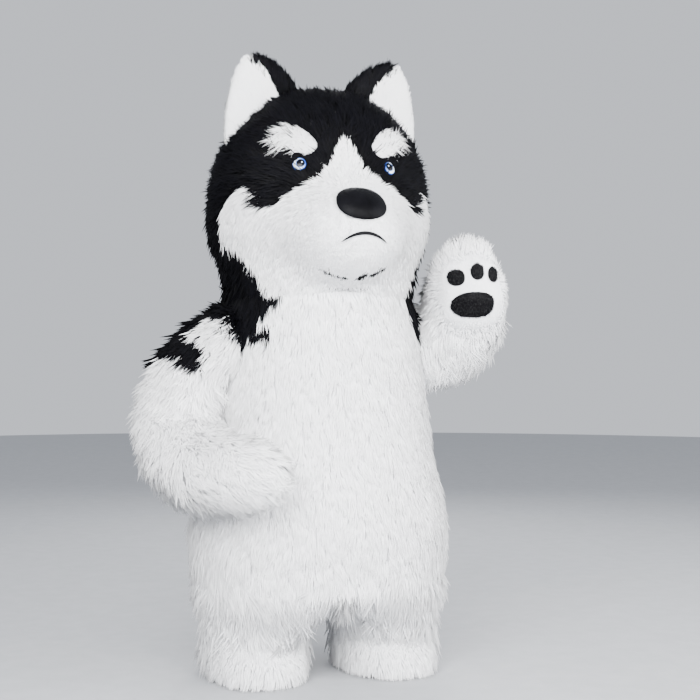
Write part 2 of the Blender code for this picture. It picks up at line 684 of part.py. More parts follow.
def solid_tree(names):
    """The faces of some finished pieces, for finding the surface a small piece lies on."""
    corners, faces = [], []
    for name in names:
        mesh = bpy.data.objects[name].data
        start = len(corners)
        corners += [v.co.copy() for v in mesh.vertices]
        faces += [[start + i for i in polygon.vertices] for polygon in mesh.polygons]
    return BVHTree.FromPolygons(corners, faces)


def height_over(tree, p, n):
    """How far the pieces' faces stand above a point, along a direction."""
    hit = tree.ray_cast(Vector(p + n * 0.05), Vector(-n), 0.08)[0]
    return 0.0 if hit is None else float(np.dot(np.array(hit) - p, n))


def seated(points, normals, tree, lift, closed=False):
    """A grid of points raised until it, and the faces between its points, clear the pieces under it by lift."""
    rows, columns = points.shape[:2]
    up = np.zeros((rows, columns))
    cells = [(i, j, (j + 1) % columns) for i in range(rows - 1) for j in range(columns if closed else columns - 1)]
    halves = ((1, 1, 0, 0), (0, 0, 1, 1), (1, 0, 1, 0), (0, 1, 0, 1), (1, 0, 0, 1), (0, 1, 1, 0), (1, 0, 0, 0))
    for i, j in np.ndindex(rows, columns):
        up[i, j] = max(0.0, height_over(tree, points[i, j], normals[i, j]))
    for _ in range(4):
        raised = points + normals * up[..., None]
        for i, j, k in cells:
            corners = [(i, j), (i, k), (i + 1, k), (i + 1, j)]
            p, n = np.array([raised[c] for c in corners]), np.array([normals[c] for c in corners])
            worst = 0.0
            for half in halves:
                weight = np.array(half) / sum(half)
                worst = max(worst, height_over(tree, weight @ p, unit(weight @ n)))
            for c in corners:
                up[c] += worst
    return points + normals * (up + lift)[..., None]


def patch(name, surface, half_long, half_short, tilt, thick, fullness, tree, finish, lift=LIFT, rings=3, spokes=18):
    """A small piece laid on a surface: a flat-backed oval with a rounded top.

    surface takes metres across and up from the piece's middle, and gives points and outward normals.
    """
    turn = np.arange(spokes) * 360 / spokes
    shape = (np.abs(np.cos(rad(turn))) ** fullness + np.abs(np.sin(rad(turn))) ** fullness) ** (-1 / fullness)
    share = np.linspace(1, 0, rings + 1)[:, None]
    a = share * half_long * shape * np.cos(rad(turn))
    b = share * half_short * shape * np.sin(rad(turn))
    across = a * math.cos(math.radians(tilt)) - b * math.sin(math.radians(tilt))
    up = a * math.sin(math.radians(tilt)) + b * math.cos(math.radians(tilt))
    points, normals = surface(across, up)
    under = seated(points, normals, tree, lift, closed=True)
    under[-1] = under[-1].mean(axis=0)
    dome = 0.35 + 0.65 * np.sqrt(np.clip(1 - share**2, 0, 1))
    over = under + normals * (thick * dome)[..., None]
    wall(name, over, under, finish, closed=True, last_rim=False)


def on_head(side, piece):
    """The head's surface about a face piece, as a function of metres across, to the outer side, and up."""
    reach = float(head_reach(piece.heading, piece.rise))

    def surface(across, up):
        rise = piece.rise + np.degrees(up / reach)
        heading = side * (piece.heading + np.degrees(across / (reach * math.cos(math.radians(piece.rise)))))
        step = 0.5
        points = head_point(heading, rise)
        along = head_point(heading + step, rise) - head_point(heading - step, rise)
        above = head_point(heading, rise + step) - head_point(heading, rise - step)
        return points, unit(np.cross(along, above))

    return surface


def build_face(white, black, glossy, smooth):
    """Eyes, brows, nose and mouth, laid on the mask and the hood."""
    tree = solid_tree(["head_mask", "hood_left", "hood_right"])
    for side, end in ((1, "left"), (-1, "right")):
        patch("eye_" + end, on_head(side, EYE), EYE.half_long, EYE.half_short, 0, EYE.thick, 2, tree, glossy,
              lift=SNUG_LIFT)
        patch("brow_" + end, on_head(side, BROW), BROW.half_long, BROW.half_short, BROW.tilt, BROW.thick,
              BROW.fullness, tree, white)
    patch("nose", on_head(1, NOSE), NOSE.half_long, NOSE.half_short, 0, NOSE.thick, NOSE.fullness, tree, smooth,
          lift=SNUG_LIFT)
    heading = np.linspace(-MOUTH_HALF_HEADING, MOUTH_HALF_HEADING, 13)
    rise = MOUTH_RISE - MOUTH_DROP * (np.abs(heading) / MOUTH_HALF_HEADING) ** 1.3
    half = np.degrees(MOUTH_HALF_WIDTH / 0.48) * np.sqrt(np.clip(1.02 - (heading / MOUTH_HALF_HEADING) ** 2, 0.02, 1))
    line = FacePiece(0, 0, 0, 0, 0, 0, 0)
    reach = float(head_reach(0, 0))
    rises = between(rise - half, rise + half, 3)
    points, normals = on_head(1, line)(rad(np.broadcast_to(heading, rises.shape)) * reach, rad(rises) * reach)
    under = seated(points, normals, tree, LIFT)
    wall("mouth", under + normals * MOUTH_THICKNESS, under, smooth)


def ear_frame(side):
    """The ear's middle direction on the head, with the directions along its base towards the crown and forward."""
    e = math.radians(EAR_ELEVATION)
    f = math.radians(EAR_FORWARD)
    out = unit([side * math.cos(e), -math.sin(f), math.sin(e)])
    along = unit([-side * math.sin(e), 0, math.cos(e)])
    ahead = unit(np.cross(out, along)) * side
    return out, along, ahead


def ear_base(side, turn, share):
    """A point on the head under an ear, at a share of the way out from the base's middle. Turn 0 is its outer end."""
    out, along, ahead = ear_frame(side)
    a = -np.cos(rad(turn)) * math.radians(EAR_HALF_SPAN) * share
    b = np.sin(rad(turn)) * math.radians(EAR_HALF_DEPTH) * share
    way = unit(out + np.tan(a)[..., None] * along + np.tan(b)[..., None] * ahead)
    rise = np.degrees(np.arcsin(way[..., 2]))
    heading = np.degrees(np.arctan2(way[..., 0], -way[..., 1]))
    return np.array([0, 0, HEAD_CENTRE_HEIGHT]) + way * head_reach(heading, rise)[..., None], way


def build_ear(side, end, white, black):
    """An ear: a black back that wraps round to the front's inner edge, and a white lining let into its front."""
    tree = solid_tree(["hood_left", "hood_right", "head_mask"])
    tip = np.array(EAR_TIP) * [side, 1, 1]
    _, along, ahead = ear_frame(side)
    pieces = [
        ("ear_back_" + end, EAR_LINING_EDGE, 370.0, 20, black),
        ("ear_lining_" + end, 10.0, EAR_LINING_EDGE, 10, white),
    ]
    for name, start, stop, count, finish in pieces:
        turns = np.linspace(start + 0.35, stop - 0.35, count)
        shares = np.array([1.0, 1 - EAR_WALL_SHARE])
        base, normals = zip(*[ear_base(side, turns, share) for share in shares])
        base = seated(np.array(base), np.array(normals), tree, EAR_LIFT)
        spoke = -np.cos(rad(turns))[:, None] * along + np.sin(rad(turns))[:, None] * ahead * 0.4
        grids = []
        for edge, share, lowered in zip(base, shares, (0.0, 0.035)):
            end_point = tip - np.array([0, 0, lowered])
            rows = []
            for s in np.linspace(0, 1, 7):
                row = edge * (1 - s) + end_point * s
                blunt = EAR_BLUNT * share * 0.3 * s * (1 - s**6)
                rows.append(row + spoke * (EAR_BULGE * 4 * s * (1 - s) + blunt))
            grids.append(np.array(rows))
        wall(name, grids[0], grids[1], finish, last_rim=False)


def build_pads(black):
    """The black pads on the raised mitt's palm, laid on its fur."""
    tree = solid_tree(["mitt_left", "sleeve_left"])
    for pad in PADS:
        def surface(across, up, pad=pad):
            x = PAD_CENTRE[0] + pad.across + across
            z = PAD_CENTRE[1] + pad.up + up
            points, normals = [], []
            for a, c in zip(x.ravel(), z.ravel()):
                hit, normal, _, _ = tree.ray_cast(Vector((a, -1.0, c)), Vector((0, 1, 0)))
                points.append(hit)
                normals.append((0, -1, 0))
            return np.array(points).reshape(*x.shape, 3), np.array(normals, float).reshape(*x.shape, 3)

        patch(pad.name, surface, pad.half_wide, pad.half_tall, 0, PAD_THICKNESS, pad.fullness, tree, black)


for old in list(bpy.data.objects):
    bpy.data.objects.remove(old)
COSTUME = bpy.data.collections.new("dog_costume")
bpy.context.scene.collection.children.link(COSTUME)
HOLDER = bpy.data.objects.new("neck_seam", None)
HOLDER.location = (0, 0, -NECK_HEIGHT)
COSTUME.objects.link(HOLDER)


def main():
    """Builds the costume."""
    white = material("white_fur", (0.86, 0.87, 0.90), 0.85)
    black = material("black_fur", (0.012, 0.013, 0.020), 0.75)
    glossy = material("eye_gloss", (0.55, 0.62, 0.68), 0.12)
    smooth = material("black_cloth", (0.010, 0.010, 0.012), 0.45)
    sole = material("sole_sheet", (0.03, 0.03, 0.035), 0.8)
    build_mask(white)
    build_hood(1, "hood_left", black)
    build_hood(-1, "hood_right", black)
    build_face(white, black, glossy, smooth)
    build_ear(1, "left", white, black)
    build_ear(-1, "right", white, black)
    build_body_front(white)
    build_shoulder(1, "shoulder_left", black)
    build_shoulder(-1, "shoulder_right", black)
    build_back(1, "back_left", black)
    build_back(-1, "back_right", black)
    raised = Arm(1, RAISED_ARM, RAISED_CUFF, RAISED_CAP_GAP)
    bent = Arm(-1, BENT_ARM, BENT_CUFF, BENT_CAP_GAP, BENT_SLANT)
    build_sleeve(raised, "sleeve_left", "raised", white, black)
    build_sleeve(bent, "sleeve_right", "bent", white, black)
    build_mitt(raised, "mitt_left", white)
    build_mitt(bent, "mitt_right", white)
    build_pads(black)
    for side, end in ((1, "left"), (-1, "right")):
        build_leg(side, "leg_" + end, white)
        build_foot(side, white, sole)


main()
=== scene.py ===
"""The looks of a dog costume in long-pile fur cloth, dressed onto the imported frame.

Each panel of fur cloth becomes two pieces: a thin sheet of backing that follows its solid, and a coat of
locks that stand on the backing and reach a little past the solid's outer face. The eyes, nose and mouth are
pieces of their own, and the soles keep their solids. All lengths are in metres in the frame's own axes: +Z
up, the costume faces -Y, and its own left is +X.
"""

import logging
import math
from dataclasses import dataclass, field
from enum import Enum
from typing import Callable, Optional

import bmesh
import bpy
import numpy as np
from mathutils import Euler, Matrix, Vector


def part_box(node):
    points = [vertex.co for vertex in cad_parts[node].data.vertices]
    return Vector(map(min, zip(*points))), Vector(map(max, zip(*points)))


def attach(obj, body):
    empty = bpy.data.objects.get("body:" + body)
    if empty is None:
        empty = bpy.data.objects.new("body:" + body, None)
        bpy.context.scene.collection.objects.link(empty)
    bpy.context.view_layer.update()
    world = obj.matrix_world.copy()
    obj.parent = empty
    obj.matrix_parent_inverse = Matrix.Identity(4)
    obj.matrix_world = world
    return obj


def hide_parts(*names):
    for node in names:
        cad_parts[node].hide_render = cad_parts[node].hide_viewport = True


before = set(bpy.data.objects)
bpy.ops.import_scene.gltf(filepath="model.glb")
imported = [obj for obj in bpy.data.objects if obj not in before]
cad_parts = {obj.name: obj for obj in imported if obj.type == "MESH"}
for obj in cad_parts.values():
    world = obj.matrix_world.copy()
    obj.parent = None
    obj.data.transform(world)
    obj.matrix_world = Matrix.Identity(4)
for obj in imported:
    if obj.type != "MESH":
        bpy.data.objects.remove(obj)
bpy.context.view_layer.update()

LOG = logging.getLogger("dog_costume")
Array = np.ndarray
Colour = tuple[float, float, float]
Point = tuple[float, float, float]
Socket = bpy.types.NodeSocket
Material = bpy.types.Material
Object = bpy.types.Object
Random = np.random.Generator
Trim = Optional[Callable[[Array], Array]]

NECK_HEIGHT = 1.235
HEAD_CENTRE = (0.0, 0.0, 0.295)
NOSE_TIP = (0.0, -0.46, 0.22)
MUZZLE_MIDDLE = (0.0, -0.40, 0.15)
PALM_MIDDLE = (0.432, -0.270, 0.005)
BEHIND_PALM = (0.432, 0.10, 0.005)
DOWN = np.array([0.0, 0.0, -1.0])
SEED = 20261

# A panel's backing, and the faces of a solid that count as its outside.
BACKING_THICKNESS = 0.0025
LEAST_SHARE = 0.10
OUTWARD_SHARE = 0.30
MERGE_STEPS = 20000
FLOOR_LEVEL = 0.001 - NECK_HEIGHT

# The wandering of the pile's lie and of a marking's edge.
SWIRL_LENGTH = 0.24
EDGE_LENGTH = 0.05


class Comb(Enum):
    """The way the pile of a panel is brushed."""

    DOWN = "down"
    FROM_NOSE = "back from the nose"
    DOWN_CHEEKS = "back from the nose, then down the cheeks"
    TO_PAW = "towards the paw"
    HANGING = "hanging from a raised arm"
    FROM_PALM = "outwards from the palm"
    UP_EAR = "up the ear and outwards"
    OFF_BROW = "outwards along the brow"


@dataclass(frozen=True)
class Pile:
    """The pile of one kind of fur cloth.

    Attributes:
        sink: how far the backing lies under the solid's outer face, the fur's mean surface.
        stand: how far locks reach out from their backing.
        length: the length of a lock.
        width: a lock's width at its bend.
        per_area: locks on a square metre.
        tuft: the spread of the roots that share one tip.
        gather: how far locks draw together at their tuft's tip, from 0 to 1.
        ruffle: how unevenly locks are laid, from 0 to 1.
        swirl: how far the brushing wanders over a hand's breadth, from 0 to 1.
    """

    sink: float
    stand: float
    length: float
    width: float
    per_area: float
    tuft: float
    gather: float
    ruffle: float
    swirl: float


BODY_PILE = Pile(0.013, 0.016, 0.066, 0.0040, 38000, 0.026, 0.30, 0.19, 0.16)
LIMB_PILE = Pile(0.015, 0.028, 0.074, 0.0038, 40000, 0.030, 0.55, 0.32, 0.28)
BOOT_PILE = Pile(0.013, 0.024, 0.062, 0.0044, 42000, 0.022, 0.22, 0.20, 0.16)
MITT_PILE = Pile(0.013, 0.020, 0.058, 0.0034, 46000, 0.026, 0.45, 0.30, 0.24)
HOOD_PILE = Pile(0.013, 0.022, 0.064, 0.0038, 37500, 0.026, 0.45, 0.34, 0.24)
FACE_PILE = Pile(0.012, 0.017, 0.052, 0.0032, 62000, 0.020, 0.36, 0.20, 0.14)
EAR_PILE = Pile(0.006, 0.013, 0.038, 0.0030, 80000, 0.016, 0.40, 0.28, 0.20)
LINING_PILE = Pile(0.004, 0.006, 0.020, 0.0024, 150000, 0.009, 0.30, 0.22, 0.14)
BROW_PILE = Pile(0.004, 0.007, 0.021, 0.0020, 170000, 0.010, 0.40, 0.46, 0.22)
PAD_PILE = Pile(0.0008, 0.0032, 0.006, 0.0014, 260000, 0.004, 0.20, 0.40, 0.20)


@dataclass(frozen=True)
class LockForm:
    """The form that the locks of every pile share.

    Attributes:
        bend: how far along a lock its bend lies.
        rise: how far the bend is lifted, as a share of the stand.
        back: how far it leans away from the tuft, as a share of the tip's pull.
        lengths: the shortest and longest lock, and widths the narrowest and widest.
        reach: the least stand, what chance adds, and what the ruffle adds to a rare few.
        strays: how far a tuft, and a lock in it, strays from the lie.
        change: how much tufts differ in length and stand, and tone how much in tone.
        shades: the tone at the root, at the two ends of the bend and at the tip; the low root tone is
            painted shade deep in the pile.
        roundness: how far a lock's shading is rounded.
    """

    bend: float = 0.34
    rise: float = 0.24
    back: float = 0.15
    lengths: tuple[float, float] = (0.70, 1.12)
    widths: tuple[float, float] = (0.7, 1.3)
    reach: tuple[float, float, float] = (0.72, 0.28, 2.4)
    rarity: int = 9
    strays: tuple[float, float] = (0.75, 0.45)
    change: float = 0.10
    tone: float = 0.12
    shades: tuple[float, ...] = (0.0, 0.4, 0.4, 0.9)
    roundness: float = 0.28


LOCK = LockForm()


@dataclass(frozen=True)
class Cut:
    """The flat size of a panel's cloth before it was sewn."""

    width: float
    length: float


def unit(vectors: Array) -> Array:
    """Scales vectors to length 1."""
    return vectors / np.maximum(np.linalg.norm(vectors, axis=-1, keepdims=True), 1e-12)


def level(vectors: Array, normals: Array) -> Array:
    """Takes away each vector's part along a normal, so that it lies along the surface."""
    return vectors - normals * (vectors * normals).sum(-1, keepdims=True)


def smooth_step(t: Array) -> Array:
    """The cubic 3t^2 - 2t^3 of t held between 0 and 1."""
    t = np.clip(t, 0.0, 1.0)
    return t * t * (3.0 - 2.0 * t)


def waves(points: Array, length: float, phase: float) -> Array:
    """A smooth wandering of three directions: each is a sum of two sines of the place, at slanting angles.

    Args:
        points: places.
        length: the waves' length.
        phase: a shift that makes one set of waves unlike another.

    Returns:
        A vector for each place, its parts from -1 to 1.
    """
    slants = np.array([[0.9, 0.5, 0.7], [0.6, 1.0, -0.8], [-0.7, 0.8, 1.0]])
    turns = (points @ slants.T) * (2 * math.pi / length)
    return 0.6 * np.sin(turns + phase) + 0.4 * np.sin(1.7 * turns[:, [1, 2, 0]] + 2.1 * phase + 1.0)


@dataclass(frozen=True)
class Spine:
    """A line through points: the middle of a hollow that cloth bends around, or of a patch of colour."""

    line: tuple[Point, ...]

    def nearest(self, points: Array) -> tuple[Array, Array]:
        """Finds the closest place on the line, segment by segment.

        Args:
            points: points around the line.

        Returns:
            The closest places, and the line's direction there.
        """
        line = np.array(self.line, float)
        if len(line) == 1:
            return np.broadcast_to(line[0], points.shape), np.zeros_like(points)
        start, along = line[:-1], np.diff(line, axis=0)
        share = ((points[:, None] - start) * along).sum(-1) / (along**2).sum(-1)
        spots = start + np.clip(share, 0, 1)[..., None] * along
        best = np.linalg.norm(points[:, None] - spots, axis=-1).argmin(1)
        rows = np.arange(len(points))
        return spots[rows, best], unit(along)[best]


@dataclass(frozen=True)
class Marking:
    """A patch of the other colour: the fur whose roots lie within reach of its middle line.

    Its edge runs unevenly, by the ragged share of the reach.
    """

    spine: Spine
    reach: float
    ragged: float = 0.25

    def covers(self, points: Array) -> Array:
        """Which points lie in the patch, whose edge wanders with a sum of sines."""
        away = np.linalg.norm(points - self.spine.nearest(points)[0], axis=1)
        return away < self.reach * (1.0 + self.ragged * waves(points, EDGE_LENGTH, 0.7)[:, 0])


def make_mesh(name: str, points: Array, faces: Array, finishes: list[Material]) -> Object:
    """Makes a smooth-shaded object of faces that all have as many corners.

    Args:
        name: the piece's name.
        points: vertices, one a row.
        faces: vertex numbers, one face a row.
        finishes: its materials.

    Returns:
        The new object, at the origin.
    """
    mesh = bpy.data.meshes.new(name)
    corners = faces.shape[1]
    mesh.vertices.add(len(points))
    mesh.vertices.foreach_set("co", points.astype(np.float32).ravel())
    mesh.loops.add(faces.size)
    mesh.loops.foreach_set("vertex_index", faces.astype(np.int32).ravel())
    mesh.polygons.add(len(faces))
    mesh.polygons.foreach_set("loop_start", np.arange(0, faces.size, corners, dtype=np.int32))
    mesh.update(calc_edges=True)
    for finish in finishes:
        mesh.materials.append(finish)
    mesh.shade_smooth()
    piece = bpy.data.objects.new(name, mesh)
    bpy.context.scene.collection.objects.link(piece)
    return piece


def add_attribute(piece: Object, name: str, values: Array) -> None:
    """Stores one number for each vertex of a piece."""
    made = piece.data.attributes.new(name, "FLOAT", "POINT")
    made.data.foreach_set("value", values.astype(np.float32))


def triangle_area(points: Array, faces: Array) -> Array:
    """The area of each triangle, half the length of the cross product of two sides."""
    a, b, c = points[faces].transpose(1, 0, 2)
    return 0.5 * np.linalg.norm(np.cross(b - a, c - a), axis=1)


def merged_solid(node: str) -> tuple[Array, Array]:
    """Reads a solid, with its doubled corners merged and the faces that this closes left out.

    Args:
        node: the solid's name.

    Returns:
        Its points and its triangles.
    """
    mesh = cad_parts[node].data
    mesh.calc_loop_triangles()
    raw = np.empty(len(mesh.vertices) * 3, np.float32)
    mesh.vertices.foreach_get("co", raw)
    index = np.empty(len(mesh.loop_triangles) * 3, np.int32)
    mesh.loop_triangles.foreach_get("vertices", index)
    points = raw.reshape(-1, 3).astype(float)
    grid = np.round(points * MERGE_STEPS).astype(np.int64)
    _, first, same = np.unique(grid, axis=0, return_index=True, return_inverse=True)
    faces = same.ravel()[index].reshape(-1, 3)
    return points[first], faces[(faces != np.roll(faces, 1, axis=1)).all(1)]


def declare(piece: Object) -> None:
    """States that a piece rides on the costume's one body."""
    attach(piece, "root")


class Shader:
    """Builds one material's nodes."""

    def __init__(self, name: str) -> None:
        """Starts a material.

        Args:
            name: the material's name.
        """
        self.material = bpy.data.materials.new(name)
        self.material.use_nodes = True
        self.tree = self.material.node_tree
        self.surface = self.tree.nodes["Principled BSDF"]

    def node(self, kind: str, **inputs: float) -> bpy.types.Node:
        """Adds a node.

        Args:
            kind: the node's type.
            inputs: values for its inputs.

        Returns:
            The node.
        """
        made = self.tree.nodes.new(kind)
        for key, value in inputs.items():
            made.inputs[key].default_value = value
        return made

    def link(self, source: Socket, target: Socket) -> None:
        """Joins two sockets."""
        self.tree.links.new(source, target)

    def set(self, **values: float) -> None:
        """Sets constants on the surface's own sockets, whose names are written with underscores."""
        for key, value in values.items():
            self.surface.inputs[key.replace("_", " ")].default_value = value

    def ramp(self, fac: Socket, stops: tuple[tuple[float, Colour], ...]) -> Socket:
        """Turns a number into a colour.

        Args:
            fac: the number.
            stops: places from 0 to 1, each with a colour.

        Returns:
            The colour's socket.
        """
        made = self.tree.nodes.new("ShaderNodeValToRGB")
        elements = made.color_ramp.elements
        while len(elements) < len(stops):
            elements.new(0.5)
        for element, (place, colour) in zip(elements, stops):
            element.position = place
            element.color = (*colour, 1.0)
        self.link(fac, made.inputs["Fac"])
        return made.outputs["Color"]

    def bump(self, height: Socket, strength: float, distance: float) -> None:
        """Raises the surface by a height.

        Args:
            height: the height's socket, from 0 to 1.
            strength: how strongly it shades.
            distance: how far 1 is raised, in metres.
        """
        made = self.node("ShaderNodeBump", Strength=strength, Distance=distance)
        self.link(height, made.inputs["Height"])
        self.link(made.outputs["Normal"], self.surface.inputs["Normal"])

    def mix(self, kind: str, one: Socket, other: Socket) -> Socket:
        """Mixes two colours in full.

        Args:
            kind: how they are mixed.
            one: the first colour.
            other: the second colour.

        Returns:
            The mixed colour's socket.
        """
        made = self.node("ShaderNodeMix")
        made.data_type = "RGBA"
        made.blend_type = kind
        made.inputs[0].default_value = 1.0
        self.link(one, made.inputs[6])
        self.link(other, made.inputs[7])
        return made.outputs[2]

    def length(self, spot: Socket, middle: tuple[float, float]) -> Socket:
        """Finds the distance of a place on a map from a middle.

        Args:
            spot: the place.
            middle: the middle.

        Returns:
            The distance's socket.
        """
        made = self.tree.nodes.new("ShaderNodeVectorMath")
        made.operation = "DISTANCE"
        made.inputs[1].default_value = (*middle, 0.0)
        self.link(spot, made.inputs[0])
        return made.outputs["Value"]


@dataclass(frozen=True)
class FurFinish:
    """Fur fibre, darker at its root as painted shade of the depth among the locks, paler at its tip, with
    tufts that differ a little in tone.
    """

    name: str
    root: Colour
    middle: Colour
    tip: Colour
    roughness: float
    sheen: float
    shine: float

    def make(self) -> Material:
        """Builds the material from the locks' own attribute, which runs from root to tip.

        Returns:
            The material.
        """
        shader = Shader(self.name)
        shade = shader.node("ShaderNodeAttribute")
        shade.attribute_name = "pile_shade"
        stops = ((0.0, self.root), (0.5, self.middle), (1.0, self.tip))
        shader.link(shader.ramp(shade.outputs["Fac"], stops), shader.surface.inputs["Base Color"])
        shader.set(Roughness=self.roughness, Sheen_Weight=self.sheen, Sheen_Roughness=0.5)
        shader.set(Specular_IOR_Level=self.shine)
        return shader.material


@dataclass(frozen=True)
class BackingFinish:
    """Knitted backing with the feet of the pile showing as fine streaks."""

    name: str
    low: Colour
    high: Colour
    streak: float = 140.0

    def make(self) -> Material:
        """Builds the material from noise drawn out along the pile.

        Returns:
            The material.
        """
        shader = Shader(self.name)
        place = shader.node("ShaderNodeTexCoord")
        squeeze = shader.node("ShaderNodeMapping", Scale=(1.0, 1.0, 0.22))
        noise = shader.node("ShaderNodeTexNoise", Scale=self.streak, Detail=4.0, Roughness=0.6)
        shader.link(place.outputs["Object"], squeeze.inputs["Vector"])
        shader.link(squeeze.outputs["Vector"], noise.inputs["Vector"])
        colour = shader.ramp(noise.outputs["Fac"], ((0.3, self.low), (0.7, self.high)))
        shader.link(colour, shader.surface.inputs["Base Color"])
        shader.bump(noise.outputs["Fac"], 0.6, 0.004)
        shader.set(Roughness=0.95)
        return shader.material


@dataclass(frozen=True)
class KnitFinish:
    """Smooth stretch cloth or rubber sheet: a fine grain over a slow change of tone."""

    name: str
    low: Colour
    high: Colour
    roughness: float
    grain: float
    relief: float
    shine: float = 0.3

    def make(self) -> Material:
        """Builds the material from a fine cell pattern and a slow noise.

        Returns:
            The material.
        """
        shader = Shader(self.name)
        place = shader.node("ShaderNodeTexCoord")
        slow = shader.node("ShaderNodeTexNoise", Scale=14.0, Detail=5.0, Roughness=0.6)
        cells = shader.node("ShaderNodeTexVoronoi", Scale=self.grain)
        shader.link(place.outputs["Object"], slow.inputs["Vector"])
        shader.link(place.outputs["Object"], cells.inputs["Vector"])
        colour = shader.ramp(slow.outputs["Fac"], ((0.35, self.low), (0.65, self.high)))
        shader.link(colour, shader.surface.inputs["Base Color"])
        shader.bump(cells.outputs["Distance"], 0.5, self.relief)
        shader.set(Roughness=self.roughness, Specular_IOR_Level=self.shine)
        return shader.material


@dataclass(frozen=True)
class EyeFinish:
    """A resin eye: a pale blue iris in a deep blue rim, and a black pupil set towards the nose.

    The middles of the pupil and of the painted highlight, a glint beside it, are places on the eye's map.
    """

    name: str = "eye_resin"
    pupil: tuple[float, float] = (0.22, 0.10)
    painted_highlight: tuple[float, float] = (0.42, 0.22)

    def make(self) -> Material:
        """Builds the material from the dome's own map, which runs from -1 to 1 across the eye.

        Returns:
            The material.
        """
        shader = Shader(self.name)
        spot = shader.node("ShaderNodeUVMap")
        spot.uv_map = "eye_map"
        iris = shader.ramp(shader.length(spot.outputs["UV"], (0.0, 0.0)), (
            (0.00, (0.62, 0.76, 0.95)),
            (0.62, (0.84, 0.91, 0.99)),
            (0.80, (0.78, 0.88, 0.99)),
            (0.87, (0.10, 0.25, 0.80)),
            (0.96, (0.01, 0.02, 0.12)),
        ))
        pupil = shader.ramp(shader.length(spot.outputs["UV"], self.pupil), (
            (0.56, (0.002, 0.002, 0.004)),
            (0.63, (0.10, 0.20, 0.50)),
            (0.74, (1.0, 1.0, 1.0)),
        ))
        # Painted highlight: a pale spot lightened onto the eye beside the pupil, standing in for a
        # reflection.
        painted_highlight = shader.ramp(shader.length(spot.outputs["UV"], self.painted_highlight),
                            ((0.07, (0.6, 0.7, 0.8)), (0.13, (0.0, 0.0, 0.0))))
        painted = shader.mix("LIGHTEN", shader.mix("MULTIPLY", iris, pupil), painted_highlight)
        shader.link(painted, shader.surface.inputs["Base Color"])
        shader.set(Roughness=0.16, Coat_Weight=0.08, Coat_Roughness=0.05, Specular_IOR_Level=0.12)
        return shader.material


@dataclass
class Surface:
    """The outer face of a panel's solid, as triangles with smooth normals."""

    points: Array
    normals: Array
    faces: Array

    @classmethod
    def outside(cls, node: str, spine: Spine) -> "Surface":
        """Takes the faces of a solid that look away from the hollow it bends around.

        Args:
            node: the solid's name.
            spine: the hollow's middle line.

        Returns:
            The outer surface.
        """
        points, faces = merged_solid(node)
        a, b, c = points[faces].transpose(1, 0, 2)
        facing = unit(np.cross(b - a, c - a))
        middle = (a + b + c) / 3
        outward = (facing * unit(middle - spine.nearest(middle)[0])).sum(1) > OUTWARD_SHARE
        used, same = np.unique(faces[outward], return_inverse=True)
        faces = same.reshape(-1, 3)
        points = points[used]
        normals = np.zeros_like(points)
        weight = facing[outward] * triangle_area(points, faces)[:, None]
        np.add.at(normals, faces.ravel(), np.repeat(weight, 3, axis=0))
        return cls(points, unit(normals), faces)

    def area(self) -> float:
        """The surface's area."""
        return float(triangle_area(self.points, self.faces).sum())

    def scatter(self, count: int, random: Random) -> tuple[Array, Array]:
        """Spreads points evenly over the surface: triangles by area, then even shares of their corners.

        Args:
            count: how many points.
            random: the source of random numbers.

        Returns:
            The points and their smooth normals.
        """
        weight = triangle_area(self.points, self.faces)
        chosen = self.faces[random.choice(len(self.faces), count, p=weight / weight.sum())]
        u, v = np.sqrt(random.random(count)), random.random(count)
        shares = np.stack([1 - u, u * (1 - v), u * v], axis=1)[..., None]
        return (self.points[chosen] * shares).sum(1), unit((self.normals[chosen] * shares).sum(1))


@dataclass(frozen=True)
class Cloth:
    """One colour of fur cloth: the finish of its pile and of its backing."""

    fur: Material
    backing: Material


